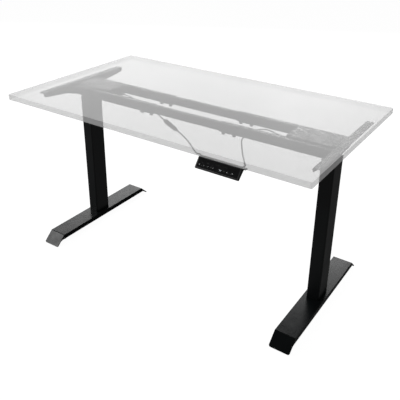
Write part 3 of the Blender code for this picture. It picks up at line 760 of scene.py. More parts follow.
def wire_fasteners(tree: NodeTree, given: dict[str, NodeSocket]) -> NodeSocket:
    """Put a copy of a fastener's head on every point, each turned by chance about its own axis.

    Args:
        tree: The rule's tree.
        given: Its inputs.

    Returns:
        The instances.
    """
    chance = add_node(
        tree, "FunctionNodeRandomValue", {"data_type": "FLOAT"}, {"Seed": given["Seed"]},
    )
    for socket in chance.inputs:
        if socket.type == "VALUE" and socket.name == "Max":
            tree.links.new(given["Largest Turn"], socket)
    spin = next(socket for socket in chance.outputs if socket.type == "VALUE")
    turn = add_node(tree, "ShaderNodeCombineXYZ", feeds={"Z": spin})
    aim = add_node(
        tree, "FunctionNodeAlignEulerToVector", {"axis": "Z"},
        {"Rotation": turn.outputs["Vector"], "Vector": given["Axis"]},
    )
    head = add_node(tree, "GeometryNodeObjectInfo", feeds={"Object": given["Head"]})
    placed = add_node(
        tree, "GeometryNodeInstanceOnPoints",
        feeds={"Points": given["Geometry"], "Instance": head.outputs["Geometry"],
               "Rotation": aim.outputs["Rotation"], "Scale": given["Size"]},
    )
    return placed.outputs["Instances"]


def wire_thread(tree: NodeTree, given: dict[str, NodeSocket]) -> NodeSocket:
    """Wind a ridge round a core in even turns.

    Args:
        tree: The rule's tree.
        given: Its inputs.

    Returns:
        The ridge's mesh.
    """
    helix = add_node(
        tree, "GeometryNodeCurveSpiral",
        feeds={"Resolution": given["Steps"], "Rotations": given["Turns"], "Start Radius": given["Radius"],
               "End Radius": given["Radius"], "Height": given["Height"]},
    )
    ridge = add_node(
        tree, "GeometryNodeCurvePrimitiveQuadrilateral", {"mode": "RECTANGLE"},
        {"Width": given["Ridge"], "Height": given["Ridge"]},
    )
    upright = add_node(tree, "GeometryNodeSetCurveNormal", {"mode": "Z_UP"}, {"Curve": helix.outputs["Curve"]})
    wound = add_node(
        tree, "GeometryNodeCurveToMesh",
        feeds={"Curve": upright.outputs["Curve"], "Profile Curve": ridge.outputs["Curve"], "Fill Caps": True},
    )
    return wound.outputs["Mesh"]


def wire_ribs(tree: NodeTree, given: dict[str, NodeSocket]) -> NodeSocket:
    """Set round ribs along a line, each a little smaller than the one before it.

    Args:
        tree: The rule's tree.
        given: Its inputs.

    Returns:
        The instances.
    """
    line = add_node(
        tree, "GeometryNodeMeshLine", {"mode": "OFFSET"},
        {"Count": given["Count"], "Start Location": given["Start"], "Offset": given["Step"]},
    )
    aim = add_node(tree, "FunctionNodeAlignEulerToVector", {"axis": "Z"}, {"Vector": given["Step"]})
    index = add_node(tree, "GeometryNodeInputIndex").outputs[0]
    shrink = add_node(tree, "ShaderNodeMath", {"operation": "MULTIPLY"}, {0: index, 1: given["Shrink"]})
    scale = add_node(tree, "ShaderNodeMath", {"operation": "SUBTRACT"}, {0: 1.0, 1: shrink.outputs[0]})
    ring = add_node(tree, "GeometryNodeCurvePrimitiveCircle", {"mode": "RADIUS"},
                    {"Resolution": 20, "Radius": given["Radius"]})
    section = add_node(tree, "GeometryNodeCurvePrimitiveCircle", {"mode": "RADIUS"},
                       {"Resolution": 8, "Radius": given["Rib"]})
    rib = add_node(
        tree, "GeometryNodeCurveToMesh",
        feeds={"Curve": ring.outputs["Curve"], "Profile Curve": section.outputs["Curve"]},
    )
    placed = add_node(
        tree, "GeometryNodeInstanceOnPoints",
        feeds={"Points": line.outputs["Mesh"], "Instance": rib.outputs["Mesh"],
               "Rotation": aim.outputs["Rotation"], "Scale": scale.outputs[0]},
    )
    return placed.outputs["Instances"]


class Rules:
    """The rules that the assemblies share."""

    def __init__(self) -> None:
        """Build every tree once."""
        self.fasteners = Rule("fasteners", {
            "Head": "Object", "Axis": "Vector", "Size": "Float", "Largest Turn": "Float", "Seed": "Int",
        }, wire_fasteners)
        self.thread = Rule("thread", {
            "Radius": "Float", "Height": "Float", "Turns": "Float", "Steps": "Int", "Ridge": "Float",
        }, wire_thread)
        self.ribs = Rule("ribs", {
            "Count": "Int", "Start": "Vector", "Step": "Vector", "Radius": "Float", "Rib": "Float",
            "Shrink": "Float",
        }, wire_ribs)


# ---------------------------------------------------------------- the workshop

@dataclass(frozen=True)
class Bore:
    """A tube's wall, its corners' radius and steps, its ends' rounding and the plane of its section."""

    wall: float
    corner: float
    steps: int
    rim: float
    plane: Plane


class Workshop:
    """Holds the finishes and rules, and puts finished pieces on their bodies."""

    def __init__(self, nodes: dict[str, Object]) -> None:
        """Set up the bench around the CAD nodes, given by name."""
        self.rack = Rack()
        self.rules = Rules()
        self.nodes = nodes

    def add(self, name: str, mesh: Mesh, finish: Finishes, body: str,
            stands_for: Sequence[str] = ()) -> Object:
        """Make a finished piece of a mesh and put it on its body.

        Args:
            name: The piece's name.
            mesh: Its mesh, already in place.
            finish: Its finish.
            body: The body that it rides on.
            stands_for: The CAD nodes that it replaces.

        Returns:
            The piece.
        """
        mesh.materials.clear()
        mesh.materials.append(self.rack.take(finish))
        for face in mesh.polygons:
            face.material_index = 0
        mesh.shade_smooth()
        mesh.set_sharp_from_angle(angle=SMOOTH_UNDER)
        blank = bpy.data.objects.new(name + "_blank", mesh)
        even = blank.modifiers.new("even", "WEIGHTED_NORMAL")
        even.keep_sharp = True
        even.weight = 80
        plain = settle(blank)
        plain.name = name
        piece = stand(name, plain)
        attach(piece, body)
        if stands_for:
            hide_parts(*stands_for)
        LOG.info("%s on %s: %d faces, %s", name, body, len(plain.polygons), finish.value.name)
        return piece

    def dress_node(self, name: str, finish: Finishes) -> None:
        """Give a CAD node a finish as it is."""
        for place in self.nodes[name].material_slots:
            place.material = self.rack.take(finish)

    def heads(self, head: Mesh, points: Sequence[Sequence[float]], axis: Triple, seed: int,
              finish: Finishes) -> Mesh:
        """Set a fastener's head on each point.

        Args:
            head: One head about the origin, standing along +Z. It is used up.
            points: Where the heads go.
            axis: The way that they face.
            seed: The seed of their turns.
            finish: Their finish.

        Returns:
            One mesh of them all.
        """
        source = stand("head", head)
        base = bpy.data.meshes.new("points")
        base.from_pydata([tuple(point) for point in points], [], [])
        mesh = self.rules.fasteners.run(
            base, head=source, axis=axis, size=1.0, largest_turn=2 * math.pi, seed=seed,
            finish=self.rack.take(finish),
        )
        bpy.data.objects.remove(source, do_unlink=True)
        return mesh

    def ribs(self, finish: Finishes, count: int, start: float, step: float, radius: float, rib: float,
             shrink: float = 0.0) -> Mesh:
        """Set round ribs along Z.

        Args:
            finish: Their finish.
            count: How many there are.
            start: The first one's height.
            step: The rise from one to the next, below zero for downward.
            radius: The first one's radius.
            rib: The radius of a rib's section.
            shrink: The share by which each is smaller than the one before it.

        Returns:
            One mesh of them all.
        """
        return self.rules.ribs.run(
            count=count, start=(0.0, 0.0, start), step=(0.0, 0.0, step), radius=radius, rib=rib, shrink=shrink,
            finish=self.rack.take(finish),
        )

    def tube(self, piece: str, node: str, body: str, bore: Bore) -> None:
        """Make a steel tube with round corners in a CAD tube's box.

        Args:
            piece: The piece's name.
            node: The CAD tube.
            body: The body that it rides on.
            bore: Its wall and corners.
        """
        space = Space.of(node)
        size = space.size if bore.plane is Plane.FLAT else space.size.yzx
        loops = [
            rounded_rectangle(size.x - 2 * cut, size.y - 2 * cut, bore.corner - cut, bore.steps)
            for cut in (0.0, bore.wall)
        ]
        mesh = plate(loops, size.z, bore.rim, bore.plane, space.middle)
        self.add(piece, mesh, Finishes.POWDER_COAT, body, [node])


@dataclass(frozen=True)
class Space:
    """The box that a CAD node fills at rest."""

    low: Vector
    high: Vector

    @classmethod
    def of(cls, node: str) -> "Space":
        """Return the space of a node."""
        return cls(*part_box(node))

    @property
    def middle(self) -> Vector:
        """The box's centre."""
        return (self.low + self.high) / 2

    @property
    def size(self) -> Vector:
        """The box's three sizes."""
        return self.high - self.low

    def at(self, z: float) -> Vector:
        """Return the point of the box's upright middle line at this height."""
        return Vector((self.middle.x, self.middle.y, z))

    def inner_x(self, side: Side) -> float:
        """Return the X of the face towards the desk's middle, for a box on this side."""
        return self.high.x if side is Side.LEFT else self.low.x


# ---------------------------------------------------------------- fastener heads

@dataclass(frozen=True)
class HexHead:
    """A hexagon bolt head on a plain washer, standing along +Z."""

    across_corners: float = 0.0148
    height: float = 0.0075
    washer: float = 0.0078
    washer_height: float = 0.0008

    def mesh(self) -> Mesh:
        """Return the head and its washer as one mesh."""
        radius = self.across_corners / 2
        top = self.washer_height + self.height
        head = turned(
            [(0.0, self.washer_height), (radius, self.washer_height), (radius, top - 0.0008),
             (radius * 0.86, top), (0.0, top)], 6,
        )
        ring = turned(
            [(0.0, 0.0), (self.washer, 0.0), (self.washer, self.washer_height * 0.7),
             (self.washer - 0.0003, self.washer_height), (0.0, self.washer_height)], 24,
        )
        return joined([ring, head])


@dataclass(frozen=True)
class SocketScrew:
    """A low round head with a hexagon socket, standing along +Z."""

    radius: float
    height: float
    socket: float
    depth: float

    def mesh(self) -> Mesh:
        """Return the head with its socket."""
        crown = [
            (self.radius * across, self.height * up) for across, up in
            ((0.0, 0.0), (1.0, 0.0), (1.0, 0.35), (0.93, 0.7), (0.72, 0.93), (0.5, 1.0), (0.0, 1.0))
        ]
        tool = turned(
            [(0.0, self.height - self.depth), (self.socket, self.height - self.depth),
             (self.socket, self.height + self.depth), (0.0, self.height + self.depth)], 6,
        )
        return carved(turned(crown, 28), [tool])


FOOT_SCREW = SocketScrew(0.0055, 0.0040, 0.0022, 0.0024)
TOP_SCREW = SocketScrew(0.0052, 0.0026, 0.0018, 0.0015)
COVER_SCREW = SocketScrew(0.0038, 0.0016, 0.0014, 0.0010)
EAR_SCREW = SocketScrew(0.0036, 0.0020, 0.0013, 0.0012)


# ---------------------------------------------------------------- desktop

@dataclass
class Desktop:
    """The clear top: one slab with round corners and eased rims."""

    shop: Workshop
    corner: float = 0.006
    rim: float = 0.0014

    def build(self) -> None:
        """Make the slab."""
        space = Space.of("desktop")
        slab = panel(space.size, self.corner, self.rim, space.middle, 6)
        self.shop.add("desktop_slab", slab, Finishes.CLEAR_TOP, UPPER, ["desktop"])


# ---------------------------------------------------------------- foot and leg

@dataclass
class Foot:
    """A foot pressed from plate: a flat with a sloping toe at each end and hanging side walls."""

    shop: Workshop
    side: Side
    plate: float = 0.004
    bend: float = 0.006
    toe_corner: float = 0.008
    toe_tip: float = 0.006
    flat_half: float = 0.290
    wall: float = 0.003
    wall_drop: float = 0.023
    gusset: float = 0.030
    gusset_steps: int = 6
    lip: float = 0.007
    bracket: Triple = (0.079, 0.036, 0.004)
    bracket_z: float = 0.033
    bracket_corner: float = 0.004
    strip: Triple = (0.052, 0.068, 0.002)
    strip_rise: float = 0.0078
    screw: Pair = (0.018, 0.026)

    def build(self) -> None:
        """Make the foot with its brackets and screws."""
        space = Space.of("foot_" + self.side.word)
        body = self.side.word + "_base"
        shell = softened(self.shell(space), 0.0007, 2, 30.0)
        glides = [Space.of(f"glide_{self.side.word}_{end.word}") for end in End]
        brackets = [panel(self.bracket, self.bracket_corner, 0.0006, glide.at(self.bracket_z)) for glide in glides]
        self.shop.add(f"foot_{self.side.word}_pressing", joined([shell, *brackets]), Finishes.FOOT_COAT, body,
                      ["foot_" + self.side.word])
        self.screws(body)

    def shell(self, space: Space) -> Mesh:
        """Return the bent plate and its walls.

        Args:
            space: The box of the CAD foot.

        Returns:
            The closed mesh.
        """
        half_width = space.size.x / 2
        reach = space.size.y / 2
        wall_inside = half_width - self.wall
        corner_start = half_width - self.toe_corner
        at_wall = math.asin((wall_inside - corner_start) / self.toe_corner)
        outside = [math.radians(degrees) for degrees in (90, 75, 60, 48)] + [at_wall]
        inside = [at_wall] + [math.radians(degrees) for degrees in (28, 15, 0)]
        stations = [(angle, True) for angle in outside] + [(angle, False) for angle in inside]
        mirrored = [(-1.0, angle, walled) for angle, walled in stations]
        mirrored += [(1.0, angle, walled) for angle, walled in reversed(stations)]
        sections = []
        for way, angle, walled in mirrored:
            across = way * (corner_start + self.toe_corner * math.sin(angle))
            retreat = self.toe_corner * (1 - math.cos(angle))
            outline = self.outline(space.high.z, reach, retreat, walled)
            sections.append([(space.middle.x + across, space.middle.y + u, v) for u, v in outline])
        return lofted(sections)

    def outline(self, top: float, reach: float, retreat: float, walled: bool) -> list[Pair]:
        """Return the foot's outline at one distance from its middle line.

        Args:
            top: The height of the flat.
            reach: Half the foot's length.
            retreat: How far the toe's tip is drawn back by its round corner.
            walled: True where the side wall hangs down.

        Returns:
            The outline's points, seen from the side.
        """
        slope = Vector((reach - self.flat_half, self.toe_tip - top)).normalized()
        inner = Vector((slope.y, -slope.x))
        drop = math.atan2(-slope.y, slope.x)
        hub = Vector((self.flat_half - self.bend * math.tan(drop / 2), top - self.bend))
        turns = [math.pi / 2 - drop * step / 4 for step in range(5)]
        upper = [hub + heading(turn) * self.bend for turn in turns]
        tip = Vector((reach, self.toe_tip)) - slope * retreat
        under_tip = tip + inner * self.plate
        low = top - self.wall_drop
        meet = self.flat_half + (self.plate / math.cos(drop) + low - top) / slope.y * slope.x
        centre = Vector((meet - self.gusset * math.tan(drop / 2), low - self.gusset))
        count = self.gusset_steps
        under = []
        for step in range(count):
            turn = math.pi / 2 - drop * (1 - step / (count - 1))
            if walled:
                under.append(centre + heading(turn) * self.gusset)
            elif step < 2:
                gusset_end = centre + heading(math.pi / 2 - drop) * self.gusset
                under.append(gusset_end - slope * self.lip * step)
            else:
                turn = math.pi / 2 - drop * (1 - (step - 2) / (count - 3))
                under.append(hub + heading(turn) * (self.bend - self.plate))
        half = [*upper, tip, under_tip, *under]
        return [(p.x, p.y) for p in half] + [(-p.x, p.y) for p in reversed(half)]

    def screws(self, body: str) -> None:
        """Set the four screws under the foot on their washer strip."""
        node = "leg_screws_" + self.side.word
        space = Space.of(node)
        x, y = space.middle.xy
        top = space.low.z + self.strip_rise
        across, along = self.screw
        strip = panel(self.strip, 0.005, 0.0004, (x, y, top - self.strip[2] / 2))
        points = [(x + u, y + v, top - self.strip[2]) for u in (-across, across) for v in (-along, along)]
        heads = self.shop.heads(FOOT_SCREW.mesh(), points, DOWNWARD, 11, Finishes.ZINC)
        self.shop.add(node + "_set", joined([strip, heads]), Finishes.ZINC, body, [node])


@dataclass
class Glide:
    """A levelling glide: rubber pad, collar and threaded stud."""

    shop: Workshop
    side: Side
    end: End

    def build(self) -> None:
        """Make the pad and the stud with its thread."""
        node = f"glide_{self.side.word}_{self.end.word}"
        space = Space.of(node)
        centre = space.at(0.0)
        radius = space.size.x / 2
        pad = turned([
            (0.0, 0.0), (radius - 0.0012, 0.0), (radius - 0.0003, 0.0005), (radius, 0.0014), (radius, 0.0052),
            (radius - 0.0006, 0.0064), (radius - 0.0020, 0.0074), (0.0095, 0.0085), (0.0072, 0.0096),
            (0.0060, 0.0112), (0.0060, 0.0200), (0.0, 0.0200),
        ], 36)
        self.shop.add(node + "_pad", moved(pad, place=centre), Finishes.RUBBER, node + "_body", [node])
        nut = turned([
            (0.0, 0.0200), (0.0072, 0.0200), (0.0080, 0.0208), (0.0080, 0.0299), (0.0072, 0.0307), (0.0, 0.0307),
        ], 6)
        stud = turned([(0.0, 0.0300), (0.0034, 0.0300), (0.0034, 0.0424), (0.0030, 0.0430), (0.0, 0.0430)], 20)
        ridge = self.shop.rules.thread.run(
            radius=0.0034, height=0.0110, turns=9.0, steps=12, ridge=0.0006,
            finish=self.shop.rack.take(Finishes.ZINC),
        )
        ridge = moved(ridge, place=(0.0, 0.0, 0.0310))
        threaded = moved(joined([softened(nut, 0.0004), stud, ridge]), place=centre)
        self.shop.add(node + "_stud", threaded, Finishes.ZINC, node + "_body")


@dataclass
class Leg:
    """One telescopic leg: outer tube, glide collar and inner tube."""

    shop: Workshop
    side: Side
    wall: float = 0.002
    outer_corner: float = 0.006
    inner_corner: float = 0.0045
    collar_lip: float = 0.003
    collar_play: float = 0.0006
    thread_run: float = 0.580
    thread_lead: float = 0.008

    def build(self) -> None:
        """Make the tubes, the collar and what turns inside them."""
        word = self.side.word
        base = word + "_base"
        for node, corner, body in (("leg_outer_tube_", self.outer_corner, base),
                                   ("leg_inner_tube_", self.inner_corner, UPPER)):
            bore = Bore(self.wall, corner, 6, 0.0005, Plane.FLAT)
            self.shop.tube(node + word + "_drawn", node + word, body, bore)
        self.collar(base)
        self.spindle()
        for node, finish in (("push_tube_", Finishes.ZINC), ("spindle_nut_", Finishes.ACETAL)):
            self.shop.dress_node(node + word, finish)

    def collar(self, body: str) -> None:
        """Make the moulded collar that closes the gap between the tubes."""
        node = "glide_collar_" + self.side.word
        space = Space.of(node)
        inner = Space.of("leg_inner_tube_" + self.side.word)
        play = self.collar_play
        bore = rounded_rectangle(inner.size.x + play, inner.size.y + play, self.inner_corner + 0.0001, 6)
        lip = plate([rounded_rectangle(space.size.x, space.size.y, self.outer_corner, 6), bore], self.collar_lip,
                    0.0009, place=space.at(space.high.z - self.collar_lip / 2))
        sleeve_size = (space.size.x - 2 * self.wall - play, space.size.y - 2 * self.wall - play)
        length = space.size.z - 0.002
        sleeve = plate([rounded_rectangle(*sleeve_size, 0.0048, 6), bore], length, 0.0,
                       place=space.at(space.low.z + length / 2))
        self.shop.add(node + "_moulding", joined([lip, sleeve]), Finishes.MOULDED, body, [node])

    def spindle(self) -> None:
        """Make the lifting screw with its thread."""
        node = "spindle_" + self.side.word
        space = Space.of(node)
        centre = space.at(0.0)
        foot, top = space.low.z, space.high.z
        core = turned([
            (0.0, foot), (0.0079, foot), (0.0085, foot + 0.0006), (0.0085, foot + 0.0034), (0.0079, foot + 0.004),
            (0.0052, foot + 0.004), (0.0052, top - 0.001), (0.0045, top), (0.0, top),
        ], 24)
        run = self.thread_run
        ridge = self.shop.rules.thread.run(
            radius=0.0052, height=run, turns=run / self.thread_lead, steps=14, ridge=0.0014,
            finish=self.shop.rack.take(Finishes.ZINC),
        )
        screw = moved(joined([core, moved(ridge, place=(0.0, 0.0, space.low.z + 0.008))]), place=centre)
        self.shop.add(node + "_screw", screw, Finishes.ZINC, f"spindle_{self.side.word}_body", [node])


# ---------------------------------------------------------------- head, arms and rails

@dataclass
class Head:
    """The folded tray at the top of a leg, with its cover, gland and drive."""

    shop: Workshop
    side: Side
    sheet: float = 0.003
    fold: float = 0.004
    screw_inset: float = 0.012
    cover_corner: float = 0.004
    cover_rim: float = 0.0005
    lead_hole: float = 0.0043
    spindle_hole: float = 0.009
    inlet_hole: Triple = (0.012, 0.0286, 0.0206)

    def build(self) -> None:
        """Make the tray, the cover and the gland."""
        self.tray()
        self.cover()
        self.gland()
        self.shop.dress_node("motor_" + self.side.word, Finishes.MOTOR_SHELL)
        self.shop.dress_node("gearbox_" + self.side.word, Finishes.MOTOR_SHELL)

    def tray(self) -> None:
        """Fold the tray and cut its openings."""
        node = "head_tray_" + self.side.word
        space = Space.of(node)
        build = bmesh.new()
        build.from_mesh(box_blank(space.size, space.middle))
        lid = max(build.faces, key=lambda face: face.calc_center_median().z)
        bmesh.ops.delete(build, geom=[lid], context="FACES_ONLY")
        folds = [edge for edge in build.edges if len(edge.link_faces) == 2]
        bmesh.ops.bevel(build, geom=folds, offset=self.fold, segments=4, profile=0.5, affect="EDGES")
        blank = bpy.data.objects.new("blank", to_mesh(build))
        wall = blank.modifiers.new("wall", "SOLIDIFY")
        wall.thickness = self.sheet
        wall.offset = -1.0
        wall.use_even_offset = True
        shell = tidy(settle(blank))
        gland = Space.of("gland_" + self.side.word)
        end_x = space.inner_x(self.side)
        bore = punch(self.lead_hole, 0.005, 24)
        axis = punch(self.spindle_hole, 0.008, 28)
        leg = Space.of("spindle_" + self.side.word)
        tools = [
            moved(bore, Matrix.Rotation(math.pi / 2, 4, "Y"), place=(end_x, gland.middle.y, gland.middle.z)),
            moved(axis, place=leg.at(space.low.z)),
        ]
        if self.side is Side.RIGHT:
            inlet = Space.of("mains_inlet")
            tools.append(box_blank(self.inlet_hole, (end_x, inlet.middle.y, inlet.middle.z)))
        shell = softened(carved(shell, tools), 0.0004, 1, 50.0)
        self.shop.add(node + "_folded", shell, Finishes.POWDER_COAT, UPPER, [node])

    def cover(self) -> None:
        """Make the flat cover plate with its corner screws."""
        node = "head_cover_" + self.side.word
        space = Space.of(node)
        lid = panel(space.size, self.cover_corner, self.cover_rim, space.middle)
        self.shop.add(node + "_plate", lid, Finishes.POWDER_COAT, UPPER, [node])
        half_x, half_y = space.size.x / 2 - self.screw_inset, space.size.y / 2 - self.screw_inset
        points = [
            (space.middle.x + x * half_x, space.middle.y + y * half_y, space.high.z) for x in (-1, 1) for y in (-1, 1)
        ]
        heads = self.shop.heads(COVER_SCREW.mesh(), points, UPWARD, 5, Finishes.BLACK_OXIDE)
        self.shop.add(f"head_cover_screws_{self.side.word}", heads, Finishes.BLACK_OXIDE, UPPER)

    def gland(self) -> None:
        """Make the ribbed rubber gland that the lead comes out of."""
        node = "gland_" + self.side.word
        space = Space.of(node)
        tray = Space.of("head_tray_" + self.side.word)
        end, outside = space.inner_x(self.side), tray.inner_x(self.side)
        length = abs(end - outside)
        body = turned([
            (0.0, -0.006), (0.0040, -0.006), (0.0040, 0.0003), (0.0048, 0.0003), (0.0048, 0.0018),
            (0.0042, 0.0024), (0.0030, length - 0.0006), (0.0028, length), (0.0, length),
        ], 28)
        ribs = self.shop.ribs(Finishes.RUBBER, 4, 0.0040, 0.0022, 0.0039, 0.0006, 0.07)
        turn = Matrix.Rotation(-self.side.value * math.pi / 2, 4, "Y")
        mesh = moved(joined([body, ribs]), turn, place=(outside, space.middle.y, space.middle.z))
        self.shop.add(node + "_moulding", mesh, Finishes.RUBBER, UPPER, [node])


@dataclass
class MainsInlet:
    """The three-blade mains inlet in the right head's end wall."""

    shop: Workshop
    shroud: Pair = (0.0278, 0.0198)
    floor: Triple = (0.0270, 0.0190, 0.002)
    corner: float = 0.002
    blade: Triple = (0.0020, 0.0040, 0.0125)
    blade_places: tuple[Pair, ...] = ((0.0, 0.0025), (-0.0065, -0.0015), (0.0065, -0.0015))

    def build(self) -> None:
        """Make the shroud and its blades."""
        space = Space.of("mains_inlet")
        wall_x = Space.of("head_tray_right").low.x
        _, y, z = space.middle
        chamfered = [
            (-0.0115, 0.0075), (0.0115, 0.0075), (0.0115, -0.0035), (0.0078, -0.0075), (-0.0078, -0.0075),
            (-0.0115, -0.0035),
        ]
        flange = plate([rounded_rectangle(space.size.y, space.size.z, 0.003), chamfered], 0.0016, 0.0003,
                       Plane.SIDE, (wall_x - 0.0011, y, z))
        depth = space.high.x - wall_x
        shroud = plate([rounded_rectangle(*self.shroud, self.corner), chamfered], depth, 0.0, Plane.SIDE,
                       (wall_x - GAP + depth / 2, y, z))
        floor = panel(self.floor, self.corner, 0.0, (space.high.x - 0.0012, y, z), plane=Plane.SIDE)
        body = joined([flange, shroud, floor])
        self.shop.add("mains_inlet_shroud", body, Finishes.MOULDED, UPPER, ["mains_inlet"])
        blades = [
            panel(self.blade, 0.0006, 0.0004, (space.high.x - 0.0080, y + across, z + up), 3, Plane.SIDE)
            for across, up in self.blade_places
        ]
        self.shop.add("mains_inlet_blades", joined(blades), Finishes.ZINC, UPPER)


@dataclass
class Arm:
    """A side arm folded from sheet: a tapered web and a flange under the top."""

    shop: Workshop
    side: Side
    sheet: float = 0.003
    flange: float = 0.033
    tip_corner: float = 0.007
    fold: float = 0.0045
    depths: tuple[Pair, ...] = (
        (0.000, 0.0005), (0.060, 0.0005), (0.078, 0.0020), (0.092, 0.0060), (0.108, 0.0120), (0.130, 0.0170),
        (0.180, 0.0230), (0.247, 0.0310), (0.254, 0.0350), (0.257, 0.0410),
    )
    screw_places: tuple[float, ...] = (-0.225, -0.140, 0.140, 0.225)
    screw_across: float = 0.019

    def build(self) -> None:
        """Make the arm and the screws under its flange."""
        node = "side_arm_" + self.side.word
        space = Space.of(node)
        tray_low = Space.of("head_tray_" + self.side.word).low.z
        inside = space.inner_x(self.side)
        half = space.size.y / 2
        stations = [-half, half]
        stations += [way * y for y, _ in self.fine_depths() for way in (-1, 1) if y < half]
        stations += [way * (half - self.tip_corner * (1 - math.sin(math.radians(angle)))) for way in (-1, 1)
                     for angle in (15, 30, 45, 60, 75, 90)]
        sections = []
        for y in sorted(set(round(value, 6) for value in stations)):
            sections.append(self.section(y, half, space.high.z, tray_low, inside, space.middle.y))
        arm = softened(lofted(sections), 0.0005, 2, 40.0)
        self.shop.add(node + "_folded", arm, Finishes.POWDER_COAT, UPPER, [node])
        across = inside + self.side.value * self.screw_across
        points = [(across, space.middle.y + y, space.high.z - self.sheet) for y in self.screw_places]
        heads = self.shop.heads(TOP_SCREW.mesh(), points, DOWNWARD, 7, Finishes.BLACK_OXIDE)
        self.shop.add(f"top_screws_{self.side.word}", heads, Finishes.BLACK_OXIDE, UPPER)

    def fine_depths(self) -> list[Pair]:
        """Return the web's lower edge with more points, on a smooth line through the driving ones."""
        path = smooth_path([(y, z, 0.0) for y, z in self.depths], 40)
        return [(max(point.x, 0.0), point.y) for point in path]

    def depth(self, y: float) -> float:
        """Return how high the web's lower edge is over the tray's underside.

        Args:
            y: The place along the arm, from its middle.

        Returns:
            The height.
        """
        points = self.fine_depths()
        for (y0, z0), (y1, z1) in zip(points, points[1:]):
            if y0 <= abs(y) <= y1:
                return z0 + (z1 - z0) * (abs(y) - y0) / max(y1 - y0, 1e-9)
        return points[-1][1]

    def section(self, y: float, half: float, top: float, tray_low: float, inside: float,
                middle_y: float) -> list[Triple]:
        """Return the arm's L section at one place.

        Args:
            y: The place along the arm, from its middle.
            half: Half the arm's length.
            top: The flange's upper face.
            tray_low: The underside of the tray.
            inside: The web's inner face.
            middle_y: The arm's middle.

        Returns:
            The closed outline.
        """
        corner = max(self.tip_corner - (half - abs(y)), 0.0)
        width = self.flange - (self.tip_corner - math.sqrt(max(self.tip_corner ** 2 - corner ** 2, 0.0)))
        low = tray_low + self.depth(y)
        outer_bend = [
            (self.fold * (1 - math.cos(turn)), top - self.fold * (1 - math.sin(turn)))
            for turn in (math.pi / 2 * step / 4 for step in range(5))
        ]
        small = self.fold - self.sheet
        inner_bend = [
            (self.sheet + small * (1 - math.cos(turn)), top - self.sheet - small * (1 - math.sin(turn)))
            for turn in (math.pi / 2 * (4 - step) / 4 for step in range(5))
        ]
        tip = [(width, top), (width, top - self.sheet)]
        outline = [(0.0, low), *outer_bend, *tip, *inner_bend, (self.sheet, low)]
        return [(inside + self.side.value * x, middle_y + y, z) for x, z in outline]


@dataclass
class Rails:
    """The two telescoping cross rails, their sleeves and clamp bolts."""

    shop: Workshop
    wall: float = 0.0015
    corner: float = 0.0030
    rim: float = 0.0004
    strip_corner: float = 0.004
    bolt_places: Pair = (0.182, 0.232)
    bolt_shift: float = -0.0045
    strip: float = 0.0010

    def tube(self, node: str, corner: float) -> None:
        """Make one rail tube along X, with corners of this radius."""
        self.shop.tube(node + "_rolled", node, UPPER, Bore(self.wall, corner, 5, self.rim, Plane.SIDE))

    def clamp(self, side: Side, end: End) -> None:
        """Make one clamp strip with its two bolts.

        Args:
            side: The head that the sleeve belongs to.
            end: The rail that it is on.
        """
        node = f"rail_clamp_{side.word}_{end.word}"
        space = Space.of(node)
        sleeve = Space.of(f"rail_sleeve_{side.word}_{end.word}")
        strip_top = sleeve.low.z - GAP
        strip = panel((space.size.x, space.size.y, self.strip), self.strip_corner, 0.0002,
                      space.at(strip_top - self.strip / 2))
        bolt_y = space.middle.y + self.bolt_shift
        points = [(side.value * x, bolt_y, strip_top - self.strip) for x in self.bolt_places]
        heads = self.shop.heads(HexHead().mesh(), points, DOWNWARD, 17 + int(side.value) + int(2 * end.value),
                                Finishes.BLACK_OXIDE)
        self.shop.add(node + "_set", joined([strip, heads]), Finishes.BLACK_OXIDE, UPPER, [node])

    def build(self) -> None:
        """Make both rails."""
        for end in End:
            self.tube("centre_rail_" + end.word, self.corner - 0.0005)
            for side in Side:
                self.tube(f"rail_sleeve_{side.word}_{end.word}", self.corner)
                self.clamp(side, end)


# ---------------------------------------------------------------- handset

class Mark(Enum):
    """What is printed on each key."""

    SET = "button_set"
    ONE = "button_one"
    TWO = "button_two"
    THREE = "button_three"
    UP = "button_up"
    DOWN = "button_down"


SEGMENT_BARS = {
    "a": ((0.0, 1.0), (1.0, 1.0)), "b": ((1.0, 1.0), (1.0, 0.5)), "c": ((1.0, 0.5), (1.0, 0.0)),
    "d": ((0.0, 0.0), (1.0, 0.0)), "e": ((0.0, 0.5), (0.0, 0.0)), "f": ((0.0, 1.0), (0.0, 0.5)),
    "g": ((0.0, 0.5), (1.0, 0.5)),
}
DIGIT_BARS = {"1": "bc", "2": "abged", "3": "abgcd", "5": "afgcd", "6": "afgedc", "7": "abc"}
DIGIT_LEAN = 0.12
ARROW_SHARE = 0.52


def bar_loops(digit: str, width: float, height: float, stroke: float, corner: Pair) -> list[list[Pair]]:
    """Return the outlines of one seven-bar digit.

    Args:
        digit: The digit.
        width: Its width between the bars' middles.
        height: Its height between the bars' middles.
        stroke: The bars' width.
        corner: Its lower left corner.

    Returns:
        One outline for each bar.
    """
    loops = []
    for bar in DIGIT_BARS[digit]:
        start, end = (Vector((corner[0] + u * width + v * height * DIGIT_LEAN, corner[1] + v * height))
                      for u, v in SEGMENT_BARS[bar])
        along = (end - start).normalized()
        across = Vector((-along.y, along.x)) * stroke / 2
        start, end = start + along * stroke * 0.12, end - along * stroke * 0.12
        tip = along * stroke / 2
        points = [start, start + tip + across, end - tip + across, end, end - tip - across, start + tip - across]
        loops.append([(p.x, p.y) for p in reversed(points)])
    return loops


